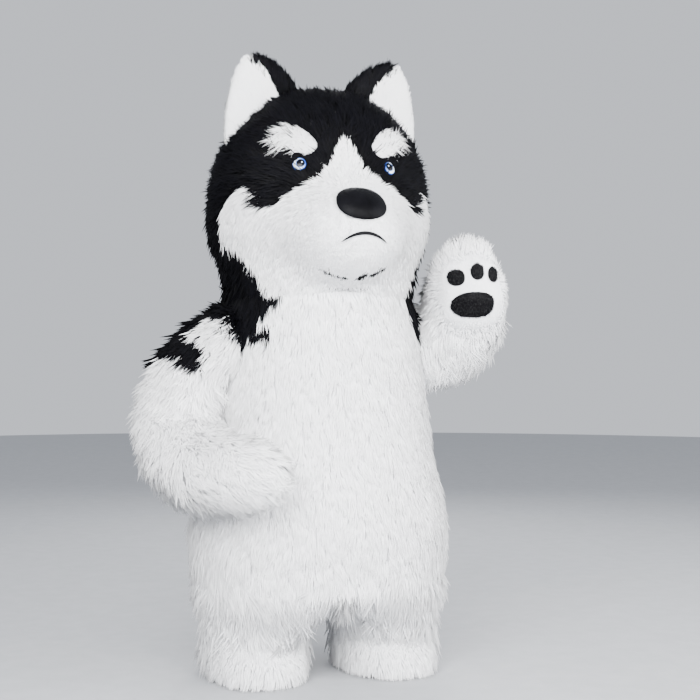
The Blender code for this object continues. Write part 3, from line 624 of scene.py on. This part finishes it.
@dataclass
class FurPanel:
    """One panel of fur cloth: its backing and its coat.

    It bends around its spine, the middle line of a hollow. Its markings are patches of the other cloth, and
    its trim gives the share of full pile at points, or is left out for full pile everywhere.
    """

    node: str
    spine: Spine
    pile: Pile
    comb: Comb
    cloth: Cloth
    slot: str
    cut: Cut
    other: Optional[Cloth] = None
    markings: tuple[Marking, ...] = ()
    trim: Trim = None

    def share(self, points: Array) -> Array:
        """The share of full pile at points."""
        return np.ones(len(points)) if self.trim is None else self.trim(points)

    def depth(self, points: Array) -> Array:
        """How far the backing lies under the solid's outer face at points, as a column."""
        return (self.pile.sink * np.clip(self.share(points), LEAST_SHARE, 1.0))[:, None]

    def marked(self, points: Array) -> Array:
        """Which points lie in a marking."""
        found = [marking.covers(points) for marking in self.markings]
        return np.any(found, axis=0) if found else np.zeros(len(points), bool)

    def finishes(self, kind: str) -> list[Material]:
        """The materials of the fur or of the backing, the markings' own last."""
        cloths = [self.cloth] if self.other is None else [self.cloth, self.other]
        return [getattr(cloth, kind) for cloth in cloths]

    def flow(self, points: Array, normals: Array) -> Array:
        """The way the pile lies: a wanted direction and a slow wandering, both taken along the surface.

        Args:
            points: places on the panel.
            normals: the surface's normals there.

        Returns:
            Directions along the surface.
        """
        spot, along = self.spine.nearest(points)
        outer = np.stack([np.sign(points[:, 0]), np.zeros(len(points)), np.zeros(len(points))], axis=1)
        if self.comb is Comb.FROM_NOSE:
            away = unit(points - np.array(NOSE_TIP))
            low = smooth_step((HEAD_CENTRE[2] + 0.10 - points[:, 2]) / 0.25)[:, None]
            wanted = away * (1.0 - 0.45 * low) + DOWN * (0.12 + 0.75 * low)
        elif self.comb is Comb.DOWN_CHEEKS:
            away = unit(points - np.array(NOSE_TIP))
            low = smooth_step((HEAD_CENTRE[2] + 0.14 - points[:, 2]) / 0.22)[:, None]
            rear = smooth_step((points[:, 1] + 0.34) / 0.20)[:, None]
            wanted = (away * (1.0 - 0.50 * low) * (1.0 - 0.75 * rear * low)
                      + DOWN * (0.80 * low + 0.30 * rear * low))
        elif self.comb is Comb.TO_PAW:
            wanted = along + 0.70 * DOWN
        elif self.comb is Comb.HANGING:
            wanted = 0.9 * DOWN + 0.35 * unit(points - spot)
        elif self.comb is Comb.FROM_PALM:
            wanted = unit((points - np.array(PALM_MIDDLE)) * [1.0, 0.3, 1.0]) + 0.15 * DOWN
        elif self.comb is Comb.UP_EAR:
            past = (points - spot)[:, :1] * np.sign(points[:, :1])
            wanted = along + 0.55 * outer * smooth_step(0.5 + past / 0.08)
        elif self.comb is Comb.OFF_BROW:
            wanted = outer - 0.12 * DOWN
        else:
            wanted = DOWN + 0.10 * unit((points - spot) * [1.0, 1.0, 0.0])
        wander = waves(points, SWIRL_LENGTH, float(len(self.node)))
        return unit(level(unit(level(wanted, normals)) + self.pile.swirl * wander, normals))

    def make_backing(self, surface: Surface) -> Object:
        """Makes the cloth: the outer surface drawn in by the pile, a face behind it, and closed edges.

        Args:
            surface: the panel's outer surface.

        Returns:
            The backing.
        """
        depth = self.depth(surface.points)
        front = surface.points - surface.normals * depth
        back = surface.points - surface.normals * (depth + BACKING_THICKNESS)
        count = len(surface.points)
        faces = surface.faces
        sides = np.concatenate([faces[:, [0, 1]], faces[:, [1, 2]], faces[:, [2, 0]]])
        code = sides[:, 0] * count + sides[:, 1]
        mate = sides[:, 1] * count + sides[:, 0]
        a, b = sides[~np.isin(code, mate)].T
        rim = np.concatenate([np.stack([b, a, a + count], 1), np.stack([b, a + count, b + count], 1)])
        points = np.concatenate([front, back])
        every = np.concatenate([faces, faces[:, ::-1] + count, rim])
        piece = make_mesh("cloth_" + self.node, points, every, self.finishes("backing"))
        spots = self.marked(points[every].mean(1))
        piece.data.polygons.foreach_set("material_index", spots.astype(np.int32))
        return piece

    def tufts(self, spots: Array, random: Random) -> tuple[Array, Array]:
        """Groups roots into tufts by the cells of a lattice as wide as a tuft.

        Args:
            spots: the roots.
            random: the source of random numbers.

        Returns:
            The tufts' middles, and each root's tuft.
        """
        cells = np.floor((spots + random.random(3) * self.pile.tuft) / self.pile.tuft).astype(np.int64)
        _, tuft = np.unique(cells, axis=0, return_inverse=True)
        tuft = tuft.ravel()
        total = np.zeros((tuft.max() + 1, 3))
        np.add.at(total, tuft, spots)
        return total / np.bincount(tuft)[:, None], tuft

    def make_coat(self, surface: Surface, random: Random) -> Object:
        """Makes the coat, as locks that taper to both ends and bend.

        Each lock is a root, the two ends of its bend and a tip, closed by four faces. The bend is lifted
        along the normal, so that a lock leaves the backing steeply and then lies over. Neighbouring locks
        draw towards their tuft's middle and share its lie. A few stand out further than the rest, and none
        reaches through the floor.

        Args:
            surface: the panel's outer surface.
            random: the source of random numbers.

        Returns:
            The coat.
        """
        pile = self.pile
        count = int(surface.area() * pile.per_area)
        spots, normals = surface.scatter(count, random)
        share = np.maximum(self.share(spots), LEAST_SHARE)[:, None]
        middles, tuft = self.tufts(spots, random)
        common = random.normal(size=(len(middles), 4))[tuft]
        stray = LOCK.strays[0] * common[:, :3] + LOCK.strays[1] * random.normal(size=(count, 3))
        lie = unit(self.flow(spots, normals) + pile.ruffle * level(stray, normals))
        change = 1.0 + LOCK.change * common[:, 3:]
        length = pile.length * share * random.uniform(*LOCK.lengths, (count, 1)) * change
        least, more, far = LOCK.reach
        reach = least + more * random.random((count, 1))
        reach = reach + far * pile.ruffle * random.random((count, 1)) ** LOCK.rarity
        lift = np.minimum(share, 0.6 + 0.4 * share) * change
        stand = np.minimum(pile.stand * lift * reach, 0.9 * length)
        slide = np.sqrt(length**2 - stand**2)
        roots = spots - normals * self.depth(spots)
        pull = level(middles[tuft] - spots, normals) * pile.gather
        tips = roots + normals * stand + lie * slide + pull
        bends = roots + (tips - roots) * LOCK.bend + normals * (stand * LOCK.rise) - pull * LOCK.back
        side = unit(np.cross(tips - roots, normals))
        width = pile.width * random.uniform(*LOCK.widths, (count, 1))
        width = width * (0.5 + 0.5 * np.minimum(share, 1.0))
        half = side * (0.5 * width)
        points = np.stack([roots, bends + half, bends - half, tips], axis=1)
        points[..., 2] = np.maximum(points[..., 2], FLOOR_LEVEL)
        pattern = np.array([[0, 1, 2], [3, 2, 1], [0, 3, 1], [0, 2, 3]])
        faces = (pattern[None] + 4 * np.arange(count)[:, None, None]).reshape(-1, 3)
        piece = make_mesh("coat_" + self.node, points.reshape(-1, 3), faces, self.finishes("fur"))
        marked = np.repeat(self.marked(spots), len(pattern))
        piece.data.polygons.foreach_set("material_index", marked.astype(np.int32))
        # The dark roots are painted shade of the depth among the locks; the tufts' tone differs at random.
        shade = np.array(LOCK.shades) * (1.0 + LOCK.tone * common[:, 3:])
        add_attribute(piece, "pile_shade", np.clip(shade, 0, 1).ravel())
        round_lock = unit(points - ((roots + tips) / 2)[:, None])
        soft = unit(normals[:, None] + LOCK.roundness * round_lock)
        piece.data.normals_split_custom_set_from_vertices(soft.reshape(-1, 3).astype(np.float32))
        return piece

    def build(self, random: Random) -> list[Object]:
        """Args:
            random: the source of random numbers.

        Returns:
            The backing and the coat.
        """
        surface = Surface.outside(self.node, self.spine)
        backing = self.make_backing(surface)
        coat = self.make_coat(surface, random)
        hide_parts(self.node)
        for piece in (backing, coat):
            declare(piece)
        sunk = surface.points - surface.normals * self.depth(surface.points)
        area = float(triangle_area(sunk, surface.faces).sum())
        return [backing, coat]


@dataclass
class MouldedPiece:
    """A small padded piece: its solid's own form, rounded by subdivision.

    Its levels say how often, and its arch how far its shoulders rise, for a line that is bowed evenly.
    """

    node: str
    finish: Material
    slot: str
    levels: int = 2
    arch: float = 0.0

    def build(self, random: Random) -> list[Object]:
        """The shoulders rise by arch * (s^1.3 - s^2), where s runs from 0 at the middle to 1 at either end.

        Args:
            random: not needed here.

        Returns:
            The piece.
        """
        points, faces = merged_solid(self.node)
        side = np.abs(points[:, 0]) / np.abs(points[:, 0]).max()
        points[:, 2] += self.arch * (side**1.3 - side**2)
        piece = make_mesh("soft_" + self.node, points, faces, [self.finish])
        rounding = piece.modifiers.new("rounding", "SUBSURF")
        rounding.levels = rounding.render_levels = self.levels
        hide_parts(self.node)
        declare(piece)
        return [piece]


@dataclass
class ResinEye:
    """A round domed eye let into the fur.

    Its middle stands out from its edge by its crown, and that edge from its seat by its rim. The seat is
    sunk behind the middle of its solid.
    """

    node: str
    finish: Material
    radius: float = 0.0218
    crown: float = 0.0090
    rim: float = 0.0030
    sunk: float = 0.005
    rings: int = 12
    spokes: int = 48

    def build(self, random: Random) -> list[Object]:
        """Makes the dome, at the height rim + crown * sqrt(1 - r^2) over a disc, and closes it behind.

        Its map is mirrored on the left eye, so that both pupils lie towards the nose.

        Args:
            random: not needed here.

        Returns:
            The eye.
        """
        low, high = (np.array(corner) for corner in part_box(self.node))
        middle = (low + high) / 2
        out = unit(middle - np.array(HEAD_CENTRE))
        across = unit(np.cross([0.0, 0.0, 1.0], out))
        upward = np.cross(out, across)
        seat = middle - out * self.sunk
        rings, spokes = self.rings, self.spokes
        share = np.concatenate([[0.0], np.sin(np.linspace(0, math.pi / 2, rings + 1))[1:], [1.0, 0.0]])
        height = np.concatenate([self.rim + self.crown * np.sqrt(1 - share[: rings + 1] ** 2), [0.0, 0.0]])
        turn = np.linspace(0, 2 * math.pi, spokes, endpoint=False)
        u, v = share[:, None] * np.cos(turn), share[:, None] * np.sin(turn)
        spread = self.radius * (u[..., None] * across + v[..., None] * upward)
        points = (seat + spread + height[:, None, None] * out).reshape(-1, 3)
        row, column = np.meshgrid(np.arange(len(share) - 1), np.arange(spokes), indexing="ij")
        after = (column + 1) % spokes
        quads = np.stack([row * spokes + column, (row + 1) * spokes + column,
                          (row + 1) * spokes + after, row * spokes + after], axis=-1).reshape(-1, 4)
        piece = make_mesh("dome_" + self.node, points, quads, [self.finish])
        chart = piece.data.uv_layers.new(name="eye_map")
        spots = np.stack([-np.sign(middle[0]) * u, v], axis=-1).reshape(-1, 2)[quads.ravel()]
        chart.data.foreach_set("uv", spots.astype(np.float32).ravel())
        close_doubles(piece)
        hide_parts(self.node)
        declare(piece)
        return [piece]


def close_doubles(piece: Object) -> None:
    """Merges corners that lie on one another, as at a dome's pole.

    Args:
        piece: the object.
    """
    work = bmesh.new()
    work.from_mesh(piece.data)
    bmesh.ops.remove_doubles(work, verts=work.verts, dist=1e-6)
    bmesh.ops.recalc_face_normals(work, faces=work.faces)
    work.to_mesh(piece.data)
    work.free()
    piece.data.update()


# Fur colours from root to tip: the darker roots are painted shade of the depth among the locks.
WHITE_FUR = FurFinish("white_long_fur", (0.90, 0.91, 0.94), (0.95, 0.955, 0.97), (0.97, 0.972, 0.98),
                      0.85, 0.10, 0.1)
BLACK_FUR = FurFinish("black_long_fur", (0.0006, 0.0006, 0.001), (0.0014, 0.0014, 0.002),
                      (0.004, 0.004, 0.006), 0.62, 0.0, 0.06)
WHITE_BACKING = BackingFinish("white_fur_backing", (0.88, 0.89, 0.92), (0.95, 0.955, 0.97))
BLACK_BACKING = BackingFinish("black_fur_backing", (0.0006, 0.0006, 0.001), (0.003, 0.003, 0.004))
NOSE_CLOTH = KnitFinish("nose_cloth", (0.0008, 0.0008, 0.0012), (0.003, 0.003, 0.004), 0.45, 420.0,
                        0.0006, 0.05)
MOUTH_CLOTH = KnitFinish("mouth_cloth", (0.002, 0.002, 0.003), (0.006, 0.006, 0.007), 0.60, 500.0,
                         0.0004, 0.08)
SOLE_SHEET = KnitFinish("sole_sheet", (0.018, 0.018, 0.020), (0.045, 0.045, 0.048), 0.80, 220.0, 0.0008)
FLOOR_PAINT = KnitFinish("floor_paint", (0.40, 0.41, 0.43), (0.43, 0.44, 0.46), 0.75, 60.0, 0.0)


@dataclass
class Stock:
    """The finishes, each made once."""

    white: Cloth = field(default_factory=lambda: Cloth(WHITE_FUR.make(), WHITE_BACKING.make()))
    black: Cloth = field(default_factory=lambda: Cloth(BLACK_FUR.make(), BLACK_BACKING.make()))
    nose: Material = field(default_factory=NOSE_CLOTH.make)
    mouth: Material = field(default_factory=MOUTH_CLOTH.make)
    sole: Material = field(default_factory=SOLE_SHEET.make)
    eye: Material = field(default_factory=EyeFinish().make)


Piece = FurPanel | MouldedPiece | ResinEye


def on_side(line: tuple[Point, ...], side: float) -> tuple[Point, ...]:
    """A line of the costume's left side on either side."""
    return tuple((side * x, y, z) for x, y, z in line)


@dataclass(frozen=True)
class MuzzleTrim:
    """The mask's pile: short on the muzzle and up the blaze, with a smooth step to full on the cheeks."""

    short: float = 0.22
    clear: float = 0.11
    run: float = 0.17
    blaze_foot: float = 0.34
    blaze_rise: float = 0.06
    blaze_half: float = 0.12
    blaze_edge: float = 0.04
    blaze_cut: float = 0.45

    def __call__(self, points: Array) -> Array:
        """Finds how far places lie from the muzzle's middle, and how far up and into the blaze.

        Args:
            points: places on the mask.

        Returns:
            Shares of full pile.
        """
        away = np.linalg.norm(points - np.array(MUZZLE_MIDDLE), axis=1)
        blaze = (smooth_step((points[:, 2] - self.blaze_foot) / self.blaze_rise)
                 * smooth_step((self.blaze_half - np.abs(points[:, 0])) / self.blaze_edge))
        cheek = smooth_step((away - self.clear) / self.run)
        return (self.short + (1.0 - self.short) * cheek) * (1.0 - self.blaze_cut * blaze)


@dataclass(frozen=True)
class BrowTrim:
    """A brow's pile: short, with a smooth step to a fringe of long wisps at its outer end."""

    short: float = 0.50
    fringe_start: float = 0.130
    fringe_run: float = 0.045
    fringe_gain: float = 0.60
    wisp_gain: float = 2.6
    wisp_width: float = 0.012
    wisp_gap: float = 0.10

    def __call__(self, points: Array) -> Array:
        """Finds how far out places lie, and which lie on a crest of the waves that part the wisps.

        Args:
            points: places on the brow.

        Returns:
            Shares of full pile.
        """
        fringe = smooth_step((np.abs(points[:, 0]) - self.fringe_start) / self.fringe_run)
        wisps = smooth_step((waves(points, self.wisp_width, 0.4)[:, 1] - self.wisp_gap) / 0.40)
        return self.short + fringe * (self.fringe_gain + self.wisp_gain * wisps)


# The two places that a panel's pile can change with: the distance from the middle plane, and the height.
SIDE, HEIGHT = 0, 2


@dataclass(frozen=True)
class StepTrim:
    """The pile of a panel that changes in smooth steps.

    Attributes:
        base: the share of full pile before any step.
        steps: the changes, which add up. Each has its axis, where it begins, how far on it ends (below zero
            for one that runs downwards) and how much it adds.
    """

    base: float
    steps: tuple[tuple[int, float, float, float], ...]

    def __call__(self, points: Array) -> Array:
        """Adds up what the steps have changed at points on the panel.

        Args:
            points: places on the panel.

        Returns:
            Shares of full pile.
        """
        share = np.full(len(points), self.base)
        for axis, start, run, gain in self.steps:
            place = np.abs(points[:, 0]) if axis == SIDE else points[:, 2]
            share = share + gain * smooth_step((place - start) / run)
        return share


# The hood's fringe falls over the neck seam, the body's sides and hem are fuller, a leg's pile hides the
# seams above and below it, and a boot cover is short at its top.
HOOD_TRIM = StepTrim(1.0, ((HEIGHT, 0.07, -0.07, 0.70),))
BODY_TRIM = StepTrim(0.88, ((SIDE, 0.24, 0.14, 0.60), (HEIGHT, -0.78, -0.12, 0.16)))
LEG_TRIM = StepTrim(1.0, ((HEIGHT, -0.98, 0.06, 0.30), (HEIGHT, -1.00, -0.08, 0.80)))
BOOT_TRIM = StepTrim(0.30, ((HEIGHT, -1.12, -0.07, 0.75),))


@dataclass(frozen=True)
class EdgeTrim:
    """The pile of an ear's back: short within reach of its outer edge, and full a run behind that."""

    spine: Spine
    reach: float = 0.022
    run: float = 0.020

    def __call__(self, points: Array) -> Array:
        """The share of full pile at points on the ear's back."""
        away = np.linalg.norm(points - self.spine.nearest(points)[0], axis=1)
        return 0.50 + 0.50 * smooth_step((away - self.reach) / self.run)


@dataclass(frozen=True)
class PalmTrim:
    """The raised mitt's pile: cropped under and beside the pads, and longer by a smooth step around them.

    It is clear so far from a pad's middle and full a run further on, both in the pad's half widths. The
    palm's face begins at the front, and its edge is the depth of the change to the mitt's sides.
    """

    pads: tuple[str, ...] = ("toe_pad_inner", "toe_pad_middle", "toe_pad_outer", "palm_pad")
    front: float = -0.215
    clear: float = 1.6
    run: float = 1.3
    edge: float = 0.03

    def __call__(self, points: Array) -> Array:
        """Finds how near each place is to a pad, in the pad's own half widths, seen from the front.

        Args:
            points: places on the mitt.

        Returns:
            Shares of full pile.
        """
        boxes = np.array([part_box(pad) for pad in self.pads])
        middle, half = boxes.mean(1), np.diff(boxes, axis=1)[:, 0] / 2
        steps = ((points[:, None] - middle) / half)[..., [0, 2]]
        away = np.linalg.norm(steps, axis=-1).min(1)
        cropped = 0.10 + 0.90 * smooth_step((away - self.clear) / self.run)
        facing = smooth_step((self.front + self.edge - points[:, 1]) / self.edge)
        return 1.0 - facing * (1.0 - cropped)


@dataclass
class Head:
    """The head: mask, hood, ears and the pieces of the face.

    The ear's middle line and edge and the black patch at the jaw's corner are given for the left side. The
    slit and the crease under the chin are painted shadow: black fur where the chin's shadow falls, the slit
    its darkest end.
    """

    stock: Stock
    spine: Spine = Spine((HEAD_CENTRE,))
    ear_foot: Point = (0.215, -0.020, 0.575)
    ear_tip: Point = (0.258, -0.052, 0.735)
    # Painted shadow under the chin: the middle lines of the black fur slit and crease.
    chin_shadow_slit: tuple[Point, ...] = (
        (0.022, -0.382, 0.034), (0.064, -0.380, 0.046), (0.100, -0.371, 0.062),
    )
    chin_shadow_crease: tuple[Point, ...] = (
        (-0.105, -0.363, 0.058), (-0.066, -0.370, 0.040), (-0.020, -0.372, 0.031),
    )
    jaw_corner: tuple[Point, ...] = (
        (0.312, -0.105, 0.125), (0.275, -0.150, 0.060), (0.251, -0.177, 0.005), (0.280, -0.140, 0.005),
    )
    ear_edge: tuple[Point, ...] = (
        (0.316, -0.010, 0.495), (0.318, -0.022, 0.55), (0.315, -0.036, 0.59),
        (0.301, -0.036, 0.64), (0.291, -0.046, 0.685), (0.262, -0.060, 0.745),
    )

    def pieces(self) -> list[Piece]:
        """Plans the head's pieces.

        Returns:
            The pieces, in building order.
        """
        white, black = self.stock.white, self.stock.black
        # The first two patches are painted shadow under the chin; the jaw corners are the real black
        # marking.
        patches = [Marking(Spine(self.chin_shadow_slit), 0.0125, 0.3), Marking(Spine(self.chin_shadow_crease), 0.0055, 0.5)]
        patches += [Marking(Spine(on_side(self.jaw_corner, side)), 0.030) for side in (1.0, -1.0)]
        found: list[Piece] = [
            FurPanel("head_mask", self.spine, FACE_PILE, Comb.DOWN_CHEEKS, white, "white_fur",
                     Cut(0.85, 0.60), other=black, markings=tuple(patches), trim=MuzzleTrim()),
            MouldedPiece("nose", self.stock.nose, "black_cloth"),
            MouldedPiece("mouth", self.stock.mouth, "black_cloth", 1, 0.028),
        ]
        for end, side in (("left", 1.0), ("right", -1.0)):
            ear = Spine(on_side((self.ear_foot, self.ear_tip), side))
            edge = Spine(on_side(self.ear_edge, side))
            found += [
                FurPanel("hood_" + end, self.spine, HOOD_PILE, Comb.FROM_NOSE, black, "black_fur",
                         Cut(0.80, 0.85), trim=HOOD_TRIM),
                FurPanel("ear_back_" + end, ear, EAR_PILE, Comb.UP_EAR, black, "black_fur", Cut(0.30, 0.26),
                         other=white, markings=(Marking(edge, 0.026),), trim=EdgeTrim(edge)),
                FurPanel("ear_lining_" + end, ear, LINING_PILE, Comb.UP_EAR, white, "white_short_pile",
                         Cut(0.20, 0.26)),
                FurPanel("brow_" + end, self.spine, BROW_PILE, Comb.OFF_BROW, white, "white_short_pile",
                         Cut(0.14, 0.09), trim=BrowTrim()),
                ResinEye("eye_" + end, self.stock.eye),
            ]
        return found


@dataclass
class Body:
    """The body: front, back and shoulder pieces, with a black curl and patch at the right of the neck."""

    stock: Stock
    spine: Spine = Spine(((0.0, 0.0, -1.2), (0.0, 0.0, 0.1)))
    hook: tuple[Point, ...] = (
        (-0.285, -0.160, -0.085), (-0.269, -0.192, -0.116), (-0.244, -0.220, -0.112),
    )
    neck: tuple[Point, ...] = ((-0.212, -0.225, 0.000), (-0.240, -0.200, -0.020))

    def pieces(self) -> list[Piece]:
        """Plans the body's pieces.

        Returns:
            The pieces, in building order.
        """
        white, black = self.stock.white, self.stock.black
        patches = (Marking(Spine(self.hook), 0.021), Marking(Spine(self.neck), 0.022))
        found: list[Piece] = [
            FurPanel("body_front", self.spine, BODY_PILE, Comb.DOWN, white, "white_fur", Cut(1.40, 0.95),
                     other=black, markings=patches, trim=BODY_TRIM),
        ]
        for end in ("left", "right"):
            found += [
                FurPanel(name + end, self.spine, BODY_PILE, Comb.DOWN, black, "black_fur", cut)
                for name, cut in (("back_", Cut(0.55, 0.93)), ("shoulder_", Cut(0.20, 0.16)))
            ]
        return found


@dataclass
class Arm:
    """An arm: sleeve top, sleeve and mitt, about the arm's middle line.

    The combs are the sleeve's and the mitt's, and the cuts those of the sleeve, its top and the mitt. The
    tongue is a white patch on the sleeve's top, and the trim is the mitt's.
    """

    stock: Stock
    end: str
    line: tuple[Point, ...]
    combs: tuple[Comb, Comb]
    cuts: tuple[Cut, Cut, Cut]
    tongue: tuple[Marking, ...] = ()
    trim: Trim = None

    def pieces(self) -> list[Piece]:
        """Plans the arm's pieces.

        Returns:
            The pieces, in building order.
        """
        white, black, spine = self.stock.white, self.stock.black, Spine(self.line)
        return [
            FurPanel("sleeve_" + self.end, spine, LIMB_PILE, self.combs[0], white, "white_fur",
                     self.cuts[0]),
            FurPanel("sleeve_top_" + self.end, spine, LIMB_PILE, self.combs[0], black, "black_fur",
                     self.cuts[1], other=white, markings=self.tongue),
            FurPanel("mitt_" + self.end, spine, MITT_PILE, self.combs[1], white, "white_fur", self.cuts[2],
                     trim=self.trim),
        ]


@dataclass
class Pads:
    """The black pads on the raised mitt's palm, whose cloth bends around a point behind it."""

    stock: Stock
    spine: Spine = Spine((BEHIND_PALM,))

    def pieces(self) -> list[Piece]:
        """Plans the pads.

        Returns:
            The pieces, in building order.
        """
        cuts = {"toe_pad_inner": Cut(0.060, 0.072), "toe_pad_middle": Cut(0.044, 0.058),
                "toe_pad_outer": Cut(0.048, 0.062), "palm_pad": Cut(0.128, 0.090)}
        black = self.stock.black
        return [FurPanel(name, self.spine, PAD_PILE, Comb.FROM_PALM, black, "black_short_pile", cut)
                for name, cut in cuts.items()]


@dataclass
class Leg:
    """A leg: trouser leg and boot cover, about an upright line so far to the left of the middle."""

    stock: Stock
    end: str
    middle: float

    def pieces(self) -> list[Piece]:
        """Plans the leg's pieces.

        Returns:
            The pieces, in building order.
        """
        white = self.stock.white
        spine = Spine(((self.middle, 0.0, -1.3), (self.middle, 0.0, -0.8)))
        return [
            FurPanel("leg_" + self.end, spine, LIMB_PILE, Comb.DOWN, white, "white_fur", Cut(1.65, 0.21),
                     trim=LEG_TRIM),
            FurPanel("foot_" + self.end, spine, BOOT_PILE, Comb.DOWN, white, "white_fur", Cut(1.25, 0.13),
                     trim=BOOT_TRIM),
        ]


RAISED_LINE = (
    (0.328, -0.006, -0.183), (0.372, -0.028, -0.173), (0.430, -0.080, -0.139), (0.455, -0.135, -0.080),
    (0.450, -0.180, -0.013), (0.440, -0.205, 0.065), (0.435, -0.211, 0.130),
)
BENT_LINE = (
    (-0.334, 0.002, -0.179), (-0.396, 0.004, -0.255), (-0.442, -0.006, -0.347), (-0.462, -0.050, -0.450),
    (-0.452, -0.138, -0.520), (-0.418, -0.232, -0.549), (-0.365, -0.318, -0.553), (-0.305, -0.385, -0.551),
    (-0.262, -0.414, -0.549),
)
TONGUE = Marking(
    Spine(((-0.368, -0.085, -0.100), (-0.352, -0.125, -0.145), (-0.335, -0.144, -0.195))), 0.050,
)
LEG_MIDDLE = 0.218
LAMP_AIM = -0.2


def facing(place: Vector, aim: Vector) -> Euler:
    """The turn of a lamp or camera that looks from a place at an aim, with its top upwards."""
    return (aim - place).to_track_quat("-Z", "Y").to_euler()


@dataclass(frozen=True)
class Lamp:
    """A soft square light."""

    name: str
    place: Point
    size: float
    power: float

    def build(self) -> None:
        """Makes the light, turned to the costume's middle."""
        light = bpy.data.lights.new(self.name, "AREA")
        light.size = self.size
        light.energy = self.power
        lamp = bpy.data.objects.new(self.name, light)
        lamp.location = self.place
        lamp.rotation_euler = facing(Vector(self.place), Vector((0, 0, LAMP_AIM)))
        bpy.context.scene.collection.objects.link(lamp)


@dataclass
class Studio:
    """A pale round floor, soft lights and the camera at the photograph's angle.

    The azimuth is the camera's angle towards the costume's left, in degrees, and the aim is so high above
    the floor. The lens is in millimetres, and the frame's shift in frame widths.
    """

    azimuth: float = -17.0
    distance: float = 4.17
    aim_height: float = 1.05
    lens: float = 65.0
    frame_shift: tuple[float, float] = (0.0457, 0.0)
    floor_radius: float = 12.0
    floor_corners: int = 96
    lamps: tuple[Lamp, ...] = (
        Lamp("key", (-2.4, -3.6, 1.7), 2.6, 480.0),
        Lamp("front", (0.4, -4.6, 0.6), 3.2, 430.0),
        Lamp("fill", (3.2, -2.2, 0.5), 2.8, 200.0),
        Lamp("rim", (1.4, 3.4, 2.0), 2.0, 150.0),
    )
    air: Colour = (0.74, 0.77, 0.83)

    def build(self) -> None:
        """Makes the floor, the air, the lamps and the camera."""
        scene = bpy.context.scene
        turns = np.linspace(0, 2 * math.pi, self.floor_corners, endpoint=False)
        height = np.full(self.floor_corners, -NECK_HEIGHT)
        edge = [self.floor_radius * np.cos(turns), self.floor_radius * np.sin(turns), height]
        floor = make_mesh("studio_floor", np.stack(edge, axis=1), np.arange(self.floor_corners)[None],
                          [FLOOR_PAINT.make()])
        world = bpy.data.worlds.new("studio_air")
        scene.world = world
        world.use_nodes = True
        air = world.node_tree.nodes["Background"]
        air.inputs["Color"].default_value = (*self.air, 1.0)
        air.inputs["Strength"].default_value = 1.0
        for lamp in self.lamps:
            lamp.build()
        turn = math.radians(self.azimuth)
        aim = Vector((0, 0, self.aim_height - NECK_HEIGHT))
        place = aim + self.distance * Vector((math.sin(turn), -math.cos(turn), 0))
        data = bpy.data.cameras.new("camera")
        data.lens = self.lens
        data.sensor_width = 36.0
        data.shift_x, data.shift_y = self.frame_shift
        camera = bpy.data.objects.new("camera", data)
        camera.location = place
        camera.rotation_euler = facing(place, aim)
        scene.collection.objects.link(camera)
        scene.camera = camera


def dress_soles(stock: Stock) -> None:
    """Gives the flat soles, which keep their solids' form, their sheet's finish.

    Args:
        stock: the finishes.
    """
    for node in ("sole_left", "sole_right"):
        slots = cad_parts[node].data.materials
        slots.clear()
        slots.append(stock.sole)


def main() -> None:
    """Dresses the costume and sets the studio."""
    logging.basicConfig(level=logging.INFO, format="%(name)s: %(message)s")
    random = np.random.default_rng(SEED)
    stock = Stock()
    raised = Arm(stock, "left", RAISED_LINE, (Comb.HANGING, Comb.FROM_PALM),
                 (Cut(0.85, 0.34), Cut(0.90, 0.12), Cut(0.66, 0.32)), trim=PalmTrim())
    bent = Arm(stock, "right", BENT_LINE, (Comb.TO_PAW, Comb.TO_PAW),
               (Cut(0.90, 0.62), Cut(0.90, 0.20), Cut(0.66, 0.30)), (TONGUE,))
    legs = Leg(stock, "left", LEG_MIDDLE), Leg(stock, "right", -LEG_MIDDLE)
    groups = (Head(stock), Body(stock), raised, bent, Pads(stock), *legs)
    for group in groups:
        for plan in group.pieces():
            for piece in plan.build(random):
                LOG.info("%s: %d faces", piece.name, len(piece.data.polygons))
    dress_soles(stock)
    Studio().build()


if __name__ == "__main__":
    main()
